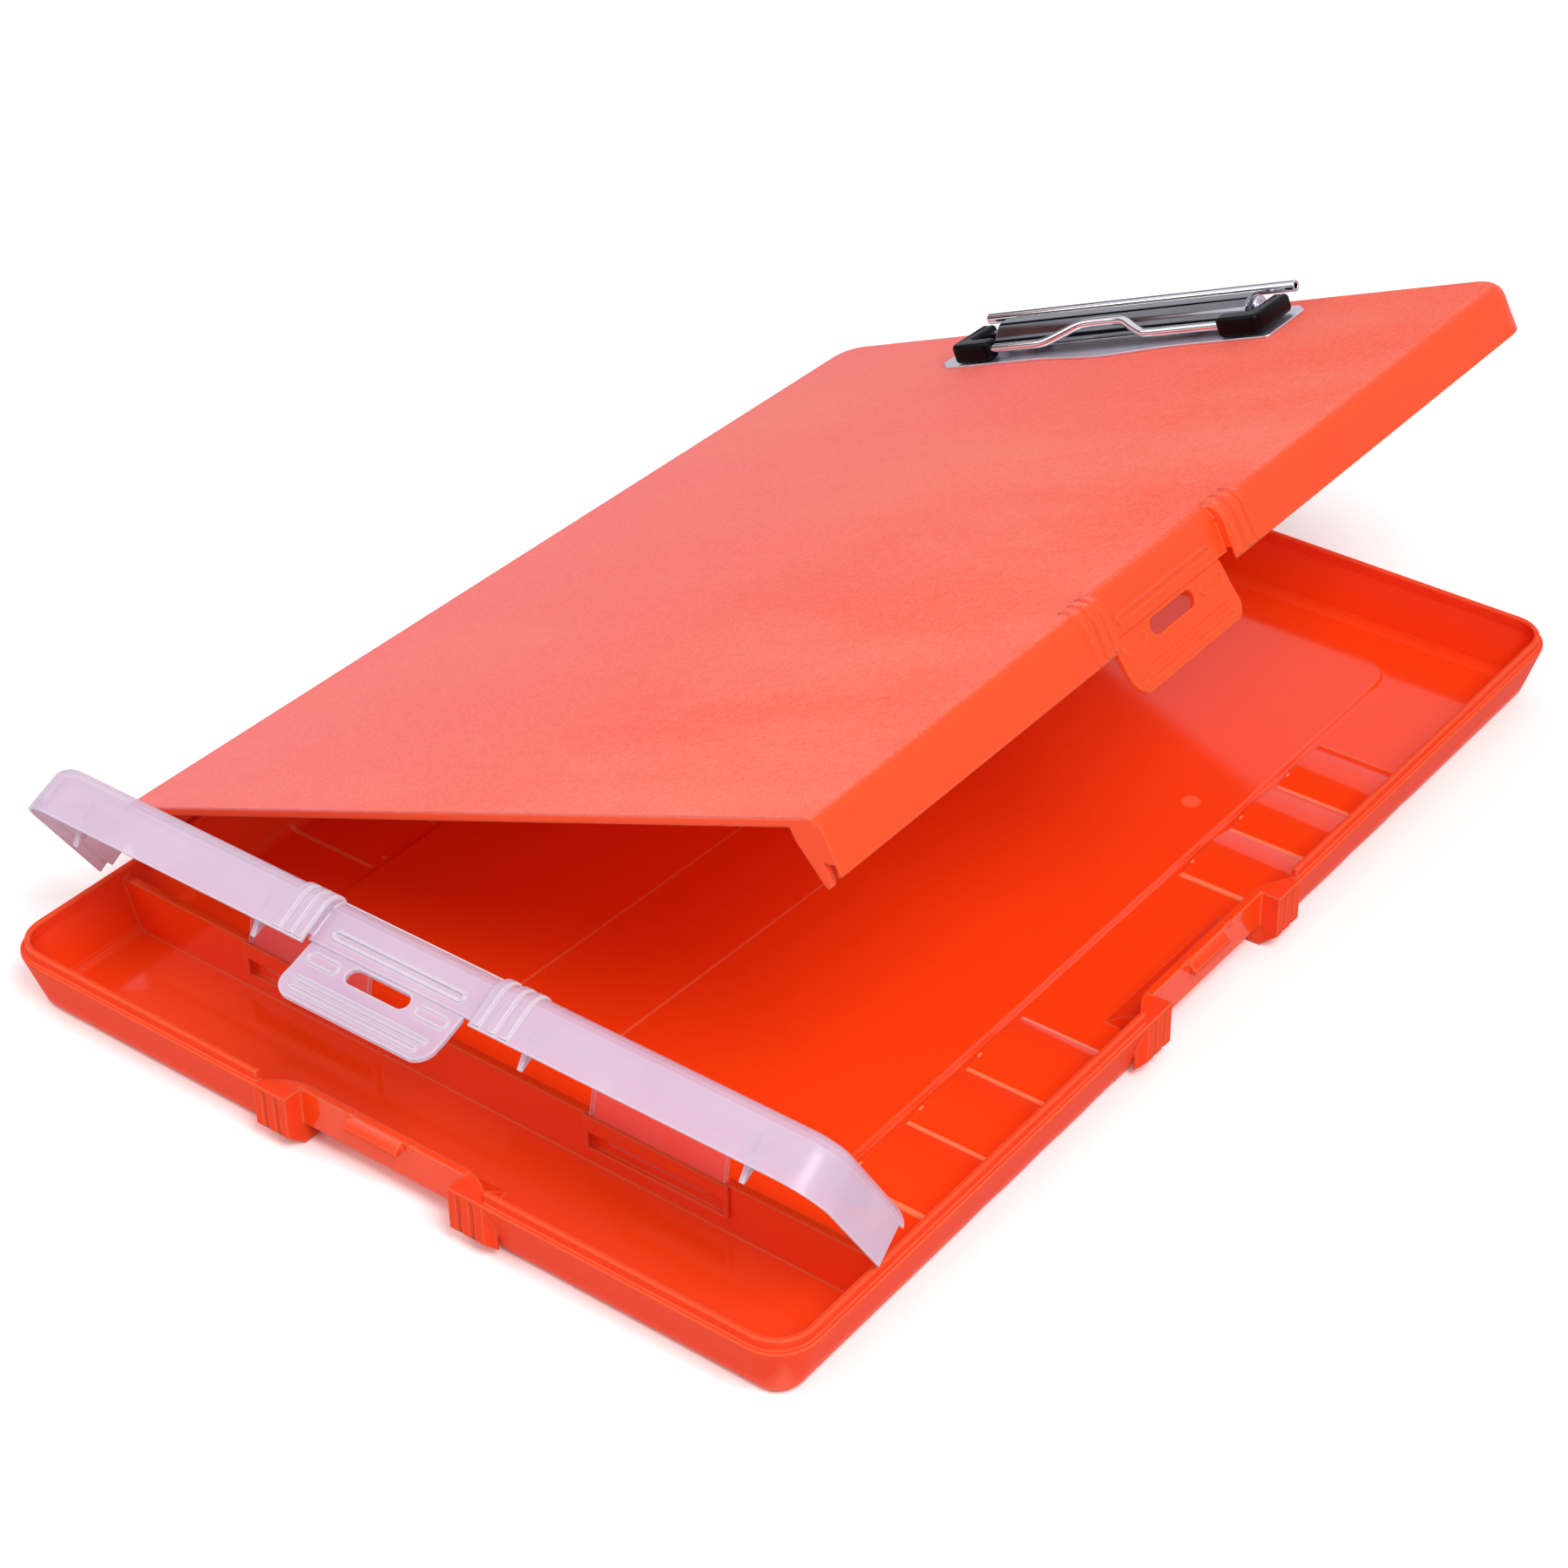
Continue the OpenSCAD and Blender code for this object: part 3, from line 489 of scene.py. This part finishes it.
def chromed_steel(name, dull_colour, bright_colour, rough, wavy):
    made, wire, shader = new_material(name)
    edges = wire.group(soft_edges, Radius=0.3 * MM, Gain=4.0)
    place = wire.node("ShaderNodeTexCoord").outputs["Object"]
    haze = wire.noise(place, 120.0, 3.0, 0.6)
    tone = wire.mix(haze, linear(dull_colour), linear(bright_colour))
    # A painted highlight along the edges
    wire.link(wire.mix(edges["Edge"], tone, linear("f0f0f4")), shader["Base Color"])
    wire.link(wire.math("ADD", wire.math("MULTIPLY", haze, 0.05), rough), shader["Roughness"])
    shader["Metallic"].default_value = 1.0
    wire.link(wire.bump(wire.noise(place, 70.0, 1.0), wavy, 0.3 * MM, edges["Normal"]), shader["Normal"])
    return made


chrome_finish = chromed_steel("chromed_steel", "dadae0", "ececf0", 0.02, 0.06)
satin_chrome = chromed_steel("satin_chromed_steel", "dcdae8", "eae8f4", 0.34, 0.06)


def eased_copy(node, name, width, material):
    """A CAD node's mesh, merged into clean faces and with its edges rounded."""
    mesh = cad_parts[node].data.copy()
    mesh.name = name
    work = bmesh.new()
    work.from_mesh(mesh)
    bmesh.ops.remove_doubles(work, verts=work.verts, dist=merge_gap)
    bmesh.ops.dissolve_limit(work, angle_limit=math.radians(1.5), verts=work.verts, edges=work.edges)
    bmesh.ops.recalc_face_normals(work, faces=work.faces)
    work.to_mesh(mesh)
    work.free()
    mesh.materials.clear()
    mesh.materials.append(material)
    piece = bpy.data.objects.new(name, mesh)
    bpy.context.scene.collection.objects.link(piece)
    edge_angle = math.radians(38)
    bevel = piece.modifiers.new("eased_edges", "BEVEL")
    bevel.width, bevel.segments = width, 3
    bevel.limit_method, bevel.angle_limit = "ANGLE", edge_angle
    bevel.use_clamp_overlap = True
    bevel.harden_normals = True
    mesh.shade_smooth()
    mesh.set_sharp_from_angle(angle=edge_angle)
    return piece


base_plate = eased_copy("clip_base_plate", "clip_plate", 0.2 * MM, satin_chrome)
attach(base_plate, "writing_lid")
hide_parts("clip_base_plate")


class NodeTree(Wiring):
    """A geometry node tree with its sizes as named inputs, run once to make a plain mesh."""

    def __init__(self, name, **sizes):
        super().__init__(bpy.data.node_groups.new(name, "GeometryNodeTree"))
        self.sizes = {}
        for label, size in sizes.items():
            socket = self.tree.interface.new_socket(label, in_out="INPUT", socket_type="NodeSocketFloat")
            self.sizes[socket.identifier] = size
        self.tree.interface.new_socket("Geometry", in_out="OUTPUT", socket_type="NodeSocketGeometry")
        self.given = self.node("NodeGroupInput").outputs
        self.result = self.node("NodeGroupOutput").inputs["Geometry"]

    def set(self, made, **values):
        for label, value in values.items():
            socket = made.inputs[label.replace("_", " ")]
            if isinstance(value, bpy.types.NodeSocket):
                self.link(value, socket)
            else:
                socket.default_value = value
        return made.outputs[0]

    def finish(self, geometry, material, name, pose):
        """Realizes and dresses the geometry, and returns it as a piece in the row frame."""
        smooth = self.set(self.node("GeometryNodeSetShadeSmooth"), Geometry=geometry)
        solid = self.set(self.node("GeometryNodeRealizeInstances"), Geometry=smooth)
        dressed = self.set(self.node("GeometryNodeSetMaterial"), Geometry=solid, Material=material)
        self.link(dressed, self.result)
        carrier = bpy.data.objects.new(name + "_carrier", bpy.data.meshes.new(name))
        bpy.context.scene.collection.objects.link(carrier)
        modifier = carrier.modifiers.new("build", "NODES")
        modifier.node_group = self.tree
        for identifier, size in self.sizes.items():
            modifier[identifier] = size
        depsgraph = bpy.context.evaluated_depsgraph_get()
        mesh = bpy.data.meshes.new_from_object(carrier.evaluated_get(depsgraph))
        bpy.data.objects.remove(carrier)
        mesh.name = name
        mesh.transform(pose)
        work = bmesh.new()
        work.from_mesh(mesh)
        bmesh.ops.remove_doubles(work, verts=work.verts, dist=merge_gap)
        bmesh.ops.recalc_face_normals(work, faces=work.faces)
        work.to_mesh(mesh)
        work.free()
        mesh.set_sharp_from_angle(angle=math.radians(40))
        piece = bpy.data.objects.new(name, mesh)
        bpy.context.scene.collection.objects.link(piece)
        return piece


rivet_pitch, rivet_y = 54.0 * MM, 150.5 * MM


def domed_rivets():
    """Two low domes, each a flattened ball half sunk in the plate, a pitch apart along X."""
    plan = NodeTree("domed_rivets", Radius=2.6 * MM, Height=0.9 * MM, Pitch=rivet_pitch)
    ball = plan.set(plan.node("GeometryNodeMeshUVSphere"), Segments=32, Rings=16,
                    Radius=plan.given["Radius"])
    flat = plan.node("ShaderNodeCombineXYZ")
    flat.inputs[0].default_value = flat.inputs[1].default_value = 1.0
    plan.link(plan.math("DIVIDE", plan.given["Height"], plan.given["Radius"]), flat.inputs[2])
    dome = plan.set(plan.node("GeometryNodeTransform"), Geometry=ball, Scale=flat.outputs[0])
    across = plan.node("ShaderNodeCombineXYZ")
    plan.link(plan.given["Pitch"], across.inputs[0])
    row = plan.set(plan.node("GeometryNodeMeshLine"), Count=2, Offset=across.outputs[0])
    heads = plan.set(plan.node("GeometryNodeInstanceOnPoints"), Points=row, Instance=dome)
    return plan.finish(heads, steel_finish, "clip_rivet_heads",
                       clip_frame @ Matrix.Translation((-rivet_pitch / 2, rivet_y, plate_top)))


rivets = domed_rivets()
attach(rivets, "writing_lid")
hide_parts("clip_rivet_left", "clip_rivet_right")

# ---- Clip pivot rod and springs ----------------------------------------------
# A plain steel rod through the plate's ears, and two wire coils wound round it that press
# the jaw down.

pivot_y, pivot_z = 157 * MM, 33.9 * MM
at_pivot = clip_frame @ Matrix.Translation((0, pivot_y, pivot_z))
dress("clip_pivot_rod", chrome_finish)
coil_length, coil_spacing = 6.4 * MM, 70.0 * MM


def coil_springs():
    """Two equal coils, spaced along X: a spiral curve swept by a round wire."""
    plan = NodeTree("coil_springs", Radius=2.0 * MM, Wire=0.5 * MM, Turns=4.0, Length=coil_length,
                    Spacing=coil_spacing)
    spiral = plan.set(plan.node("GeometryNodeCurveSpiral"), Resolution=32, Rotations=plan.given["Turns"],
                      Start_Radius=plan.given["Radius"], End_Radius=plan.given["Radius"],
                      Height=plan.given["Length"])
    ring = plan.set(plan.node("GeometryNodeCurvePrimitiveCircle"), Resolution=12,
                    Radius=plan.given["Wire"])
    coil = plan.set(plan.node("GeometryNodeCurveToMesh"), Curve=spiral, Profile_Curve=ring,
                    Fill_Caps=True)
    lying = plan.set(plan.node("GeometryNodeTransform"), Geometry=coil,
                     Rotation=(0.0, math.pi / 2, 0.0))
    across = plan.node("ShaderNodeCombineXYZ")
    plan.link(plan.given["Spacing"], across.inputs[0])
    row = plan.set(plan.node("GeometryNodeMeshLine"), Count=2, Offset=across.outputs[0])
    pair = plan.set(plan.node("GeometryNodeInstanceOnPoints"), Points=row, Instance=lying)
    return plan.finish(pair, chrome_finish, "clip_coil_springs",
                       at_pivot @ Matrix.Translation((-(coil_spacing + coil_length) / 2, 0, 0)))


springs = coil_springs()
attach(springs, "writing_lid")
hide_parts("clip_spring_left", "clip_spring_right")

# ---- Clip lever --------------------------------------------------------------
# A bent chromed sheet over the springs, with a flange at each end and its rear edge rolled
# into a tube. A thumb pushes the tube down and the jaw lifts.

sheet_half, flange_thick = 43.9 * MM, 0.9 * MM
tube_y, tube_z, tube_half = 5.8 * MM, 2.9 * MM, 54.2 * MM
tube_radius, tube_bore, tube_ease = 1.6 * MM, 0.85 * MM, 0.12 * MM
# In millimetres, as the sheet and the flanges are drawn
sheet_thick, flange_radius = 0.7, 2.55


def smooth_curve(points, steps=8):
    """Points along a Catmull-Rom curve through the given ones."""
    ends = [points[0]] + points + [points[-1]]
    curve = []
    for a, b, c, d in zip(ends, ends[1:], ends[2:], ends[3:]):
        for i in range(steps):
            t = i / steps
            curve.append(tuple(
                0.5 * (2 * q + (r - p) * t + (2 * p - 5 * q + 4 * r - s) * t * t
                       + (3 * q - p - 3 * r + s) * t ** 3) for p, q, r, s in zip(a, b, c, d)))
    return curve + [points[-1]]


def thick_outline(line, thick):
    """The closed outline, in metres, of a sheet along a line in Y and Z, given in millimetres."""
    near, far = [], []
    for i, (y, z) in enumerate(line):
        a, b = line[max(i - 1, 0)], line[min(i + 1, len(line) - 1)]
        along = Vector((b[0] - a[0], b[1] - a[1])).normalized()
        near.append(((y - along.y * thick / 2) * MM, (z + along.x * thick / 2) * MM))
        far.append(((y + along.y * thick / 2) * MM, (z - along.x * thick / 2) * MM))
    return near + far[::-1]


sheet_line = smooth_curve([(-10.5, -0.9), (-10.2, -1.5), (-8.4, -0.6), (-6.3, 0.4), (-4.5, 2.2),
                           (-3.0, 3.3), (-0.8, 3.6), (1.6, 3.45), (3.2, 2.95), (4.4, 2.6)])
# The sheet's chrome is painted far darker than the rest: a painted dark reflection of its concave shape
shaded_sheet_finish = chromed_steel("chromed_lever_sheet", "74747c", "8e8e96", 0.03, 0.05)
flange_line = [(flange_radius * math.cos(math.radians(a)), flange_radius * math.sin(math.radians(a)))
               for a in range(-180, 1, 12)] + [(2.5, 2.9), (1.6, 3.3), (-2.2, 3.4), (-3.0, 2.6)]


def rolled_tube(y, z, radius, bore, half, pose, material, sides=40):
    """An open tube along X, with slightly eased rims."""
    rings = [(half - tube_ease, radius), (half, radius - tube_ease),
             (half, bore + tube_ease), (half - tube_ease, bore)]
    rings = [(-x, r) for x, r in rings] + rings[::-1]
    turns = [2 * math.pi * i / sides for i in range(sides)]
    points = [pose @ Vector((x, y + r * math.cos(a), z + r * math.sin(a)))
              for x, r in rings for a in turns]
    faces = []
    for k in range(len(rings)):
        after = (k + 1) % len(rings)
        faces += [(k * sides + i, k * sides + (i + 1) % sides,
                   after * sides + (i + 1) % sides, after * sides + i) for i in range(sides)]
    return finished("roll", points, faces, material)


lever_parts = [
    extruded("sheet", thick_outline(sheet_line, sheet_thick), -sheet_half, sheet_half,
             at_pivot, shaded_sheet_finish),
    rolled_tube(tube_y, tube_z, tube_radius, tube_bore, tube_half, at_pivot, chrome_finish)]
for inner in (-sheet_half, sheet_half - flange_thick):
    lever_parts.append(extruded("flange", [(y * MM, z * MM) for y, z in flange_line],
                                inner, inner + flange_thick, at_pivot, chrome_finish))
lever = joined(lever_parts, "clip_thumb_lever")
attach(lever, "clip_jaw")
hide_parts("clip_lever")

# ---- Clip jaw wire -----------------------------------------------------------
# Round chromed wire across the jaw, held in the two grips and bent up in the middle.

jaw_y, jaw_z = 143.7 * MM, 34.1 * MM
jaw_tilt = math.radians(43)


def jaw_wire():
    """A curve through the bends, in one tilted plane, swept by a circle."""
    plan = NodeTree("jaw_wire", Radius=1.3 * MM)
    bends = [(-44, 0), (-30, 0), (-23.5, 0.05), (-20, 0.7), (-15, 2.6), (-10.5, 4.4), (-7, 4.95),
             (0, 4.98), (3.5, 4.9), (6.5, 4.2), (10, 2.0), (13, 0.4), (16, 0.02), (28, 0), (44, 0)]
    bends = smooth_curve([(float(x), float(y)) for x, y in bends], 5)
    line = bpy.data.curves.new("jaw_line", "CURVE")
    line.dimensions = "3D"
    spline = line.splines.new("POLY")
    spline.points.add(len(bends) - 1)
    for point, (x, y) in zip(spline.points, bends):
        point.co = (x * MM, y * MM, 0, 1)
    path = bpy.data.objects.new("jaw_path", line)
    bpy.context.scene.collection.objects.link(path)
    source = plan.node("GeometryNodeObjectInfo")
    source.inputs["Object"].default_value = path
    ring = plan.set(plan.node("GeometryNodeCurvePrimitiveCircle"), Resolution=20,
                    Radius=plan.given["Radius"])
    rod = plan.set(plan.node("GeometryNodeCurveToMesh"), Curve=source.outputs["Geometry"],
                   Profile_Curve=ring, Fill_Caps=True)
    pose = (clip_frame @ Matrix.Translation((0, jaw_y, jaw_z))
            @ Matrix.Rotation(jaw_tilt, 4, "X"))
    piece = plan.finish(rod, chrome_finish, "clip_bent_wire", pose)
    bpy.data.objects.remove(path)
    return piece


wire_piece = jaw_wire()
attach(wire_piece, "clip_jaw")
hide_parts("clip_jaw_wire")

# ---- Clip grips --------------------------------------------------------------
# Two satin black plastic corners, moulded over the ends of the wire, that press the paper
# down and turn on the pivot rod.


def black_plastic():
    """Satin black, painted a little greyer along its edges, in patches: a painted highlight."""
    made, wire, shader = new_material("black_grip_plastic")
    place = wire.node("ShaderNodeTexCoord").outputs["Object"]
    edges = wire.group(soft_edges, Radius=0.3 * MM, Gain=3.0)
    # Painted highlight along the edges, broken up by noise
    painted_edge_highlight = wire.math("MULTIPLY", edges["Edge"], wire.noise(place, 700.0, 3.0))
    wire.link(wire.mix(painted_edge_highlight, linear("030408"), linear("24262e")), shader["Base Color"])
    wire.link(wire.math("ADD", wire.math("MULTIPLY", wire.noise(place, 300.0), 0.12), 0.24),
              shader["Roughness"])
    shader["Specular IOR Level"].default_value = 0.12
    wire.link(wire.bump(wire.noise(place, 2200.0, 2.0), 0.15, 0.05 * MM, edges["Normal"]),
              shader["Normal"])
    return made


grip_finish = black_plastic()
grip_low, grip_high, grip_round = 31.1 * MM, 36.7 * MM, 1.1 * MM
arm_end, arm_radius = pivot_y, 2.8 * MM


def rounded_corner(corner, before, after, radius, steps=6):
    """Points of the arc that replaces a corner between two straight edges."""
    arrive, leave = (corner - before).normalized(), (after - corner).normalized()
    centre = corner - arrive * radius + leave * radius
    return [centre - leave * radius * math.cos(a) + arrive * radius * math.sin(a)
            for a in (math.pi / 2 * i / steps for i in range(steps + 1))]


def grip_outline(inset):
    """The L-shaped plan of a grip, drawn in by an inset. Each corner has its radius in
    millimetres, negative at the inside corner."""
    low_x, high_x, arm_x = 40 * MM + inset, 53.9 * MM - inset, 49.2 * MM + inset
    low_y, high_y, arm_y = 141.1 * MM + inset, 146.3 * MM - inset, 159.8 * MM - inset
    corners = [(low_x, low_y, 1.6), (high_x, low_y, 2.4), (high_x, arm_y, 2.0), (arm_x, arm_y, 2.0),
               (arm_x, high_y, -0.8), (low_x, high_y, 1.6)]
    outline = []
    for i, (x, y, radius) in enumerate(corners):
        before, after = corners[i - 1], corners[(i + 1) % len(corners)]
        reach = radius * MM - inset if radius > 0 else inset - radius * MM
        outline += rounded_corner(Vector((x, y)), Vector(before[:2]), Vector(after[:2]), reach)
    return outline


def corner_grip(side, sign):
    """The plan stacked from the bottom to the top, drawn in at both, and round at the pivot."""
    bends = [math.radians(a) for a in range(0, 91, 18)]
    levels = [(grip_low + grip_round * (1 - math.cos(a)), grip_round * (1 - math.sin(a)))
              for a in bends]
    levels += [(grip_low + grip_high - z, inset) for z, inset in reversed(levels)]
    points = []
    for z, inset in levels:
        for x, y in grip_outline(inset):
            past = min(max((y - arm_end) / arm_radius, 0), 0.999)
            lowered = pivot_z + (z - pivot_z) * math.sqrt(1 - past * past)
            points.append(clip_frame @ Vector((sign * x, y, lowered)))
    count = len(points) // len(levels)
    faces = [tuple(range(count)), tuple(range(len(points) - count, len(points)))]
    for k in range(len(levels) - 1):
        faces += [(k * count + i, k * count + (i + 1) % count,
                   (k + 1) * count + (i + 1) % count, (k + 1) * count + i) for i in range(count)]
    return finished("clip_corner_grip_" + side, points, faces, grip_finish)


for side, sign in (("left", -1), ("right", 1)):
    grip = corner_grip(side, sign)
    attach(grip, "clip_jaw")
    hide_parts("clip_grip_" + side)

# ---- Camera ------------------------------------------------------------------
# A long lens about a metre away, above the near right corner of the box. The shift frames
# the object as the photograph does.

look_at = Vector((-42.62, 80.0, 0.0)) * MM
azimuth, elevation, distance = math.radians(36.17), math.radians(32.85), 974.04
back = Vector((math.sin(azimuth) * math.cos(elevation),
               -math.cos(azimuth) * math.cos(elevation), math.sin(elevation)))
camera = bpy.data.objects.new("camera", bpy.data.cameras.new("camera"))
bpy.context.scene.collection.objects.link(camera)
camera.location = look_at + back * distance * MM
camera.rotation_mode = "QUATERNION"
camera.rotation_quaternion = (-back).to_track_quat("-Z", "Y")
camera.data.sensor_width = 36.0
camera.data.lens = 78.74
camera.data.shift_x, camera.data.shift_y = -0.0613, -0.0878
camera.data.clip_start, camera.data.clip_end = 0.01, 20.0
bpy.context.scene.camera = camera
bpy.context.scene.view_settings.view_transform = "Standard"

# ---- Studio ------------------------------------------------------------------
# A pale floor, a soft key from the right of the camera, a weaker fill from the left
# and a white world, so that colours render about as they are written.


def area_light(name, place, size, watts):
    data = bpy.data.lights.new(name, "AREA")
    data.shape, data.size, data.energy = "DISK", size, watts
    lamp = bpy.data.objects.new(name, data)
    bpy.context.scene.collection.objects.link(lamp)
    lamp.location = place
    lamp.rotation_mode = "QUATERNION"
    lamp.rotation_quaternion = (-Vector(place)).to_track_quat("-Z", "Y")


area_light("key", (0.9, -0.5, 1.3), 0.7, 14)
area_light("fill", (-1.2, -0.9, 1.1), 1.2, 7)


def studio_world():
    """Even white light. Reflections see dark, brown and silver panels below a white top."""
    world = bpy.data.worlds.new("studio")
    bpy.context.scene.world = world
    world.use_nodes = True
    wire = Wiring(world.node_tree)
    plain = world.node_tree.nodes["Background"]
    plain.inputs["Color"].default_value = (1, 1, 1, 1)
    plain.inputs["Strength"].default_value = 0.56
    way = wire.node("ShaderNodeSeparateXYZ")
    wire.link(wire.node("ShaderNodeTexCoord").outputs["Generated"], way.inputs[0])
    panels = wire.node("ShaderNodeValToRGB")
    dark, brown, silver, pale = ((0.02, 0.02, 0.025, 1), (0.30, 0.14, 0.12, 1),
                                 (0.60, 0.59, 0.62, 1), (0.80, 0.78, 0.86, 1))
    stops = ((0.18, dark), (0.24, brown), (0.43, brown), (0.45, dark), (0.51, dark), (0.53, silver),
             (0.61, silver), (0.64, dark), (0.795, dark), (0.815, pale))
    for place, colour in stops:
        panels.color_ramp.elements.new(place).color = colour
    panels.color_ramp.elements[0].color = dark
    panels.color_ramp.elements[-1].color = pale
    wire.link(wire.math("ADD", wire.math("MULTIPLY", way.outputs["Y"], 0.5), 0.5), panels.inputs["Fac"])
    above = wire.ramp(way.outputs["Z"], 0.46, 0.49)
    seen = wire.mix(above, panels.outputs["Color"], (0.9, 0.9, 0.92, 1))
    banded = wire.node("ShaderNodeBackground")
    wire.link(seen, banded.inputs["Color"])
    chosen = wire.node("ShaderNodeMixShader")
    wire.link(wire.node("ShaderNodeLightPath").outputs["Is Glossy Ray"], chosen.inputs[0])
    wire.link(plain.outputs[0], chosen.inputs[1])
    wire.link(banded.outputs[0], chosen.inputs[2])
    output = [n for n in world.node_tree.nodes if n.type == "OUTPUT_WORLD"][0]
    wire.link(chosen.outputs[0], output.inputs["Surface"])


studio_world()

floor_half, floor_drop = 6, 0.5 * MM
floor_corners = [(-floor_half, -floor_half, 0), (floor_half, -floor_half, 0),
                 (floor_half, floor_half, 0), (-floor_half, floor_half, 0)]
floor_mesh = bpy.data.meshes.new("floor")
floor_mesh.from_pydata(floor_corners, [], [(0, 1, 2, 3)])
floor = bpy.data.objects.new("floor", floor_mesh)
bpy.context.scene.collection.objects.link(floor)
floor.location.z = -floor_drop
floor_paint, wire, shader = new_material("floor_paint")
seen = wire.node("ShaderNodeLightPath").outputs["Is Camera Ray"]
wire.link(wire.mix(seen, (0.82, 0.82, 0.83, 1), (1.25, 1.25, 1.26, 1)), shader["Base Color"])
shader["Roughness"].default_value = 0.9
shader["Specular IOR Level"].default_value = 0.1
floor_mesh.materials.append(floor_paint)
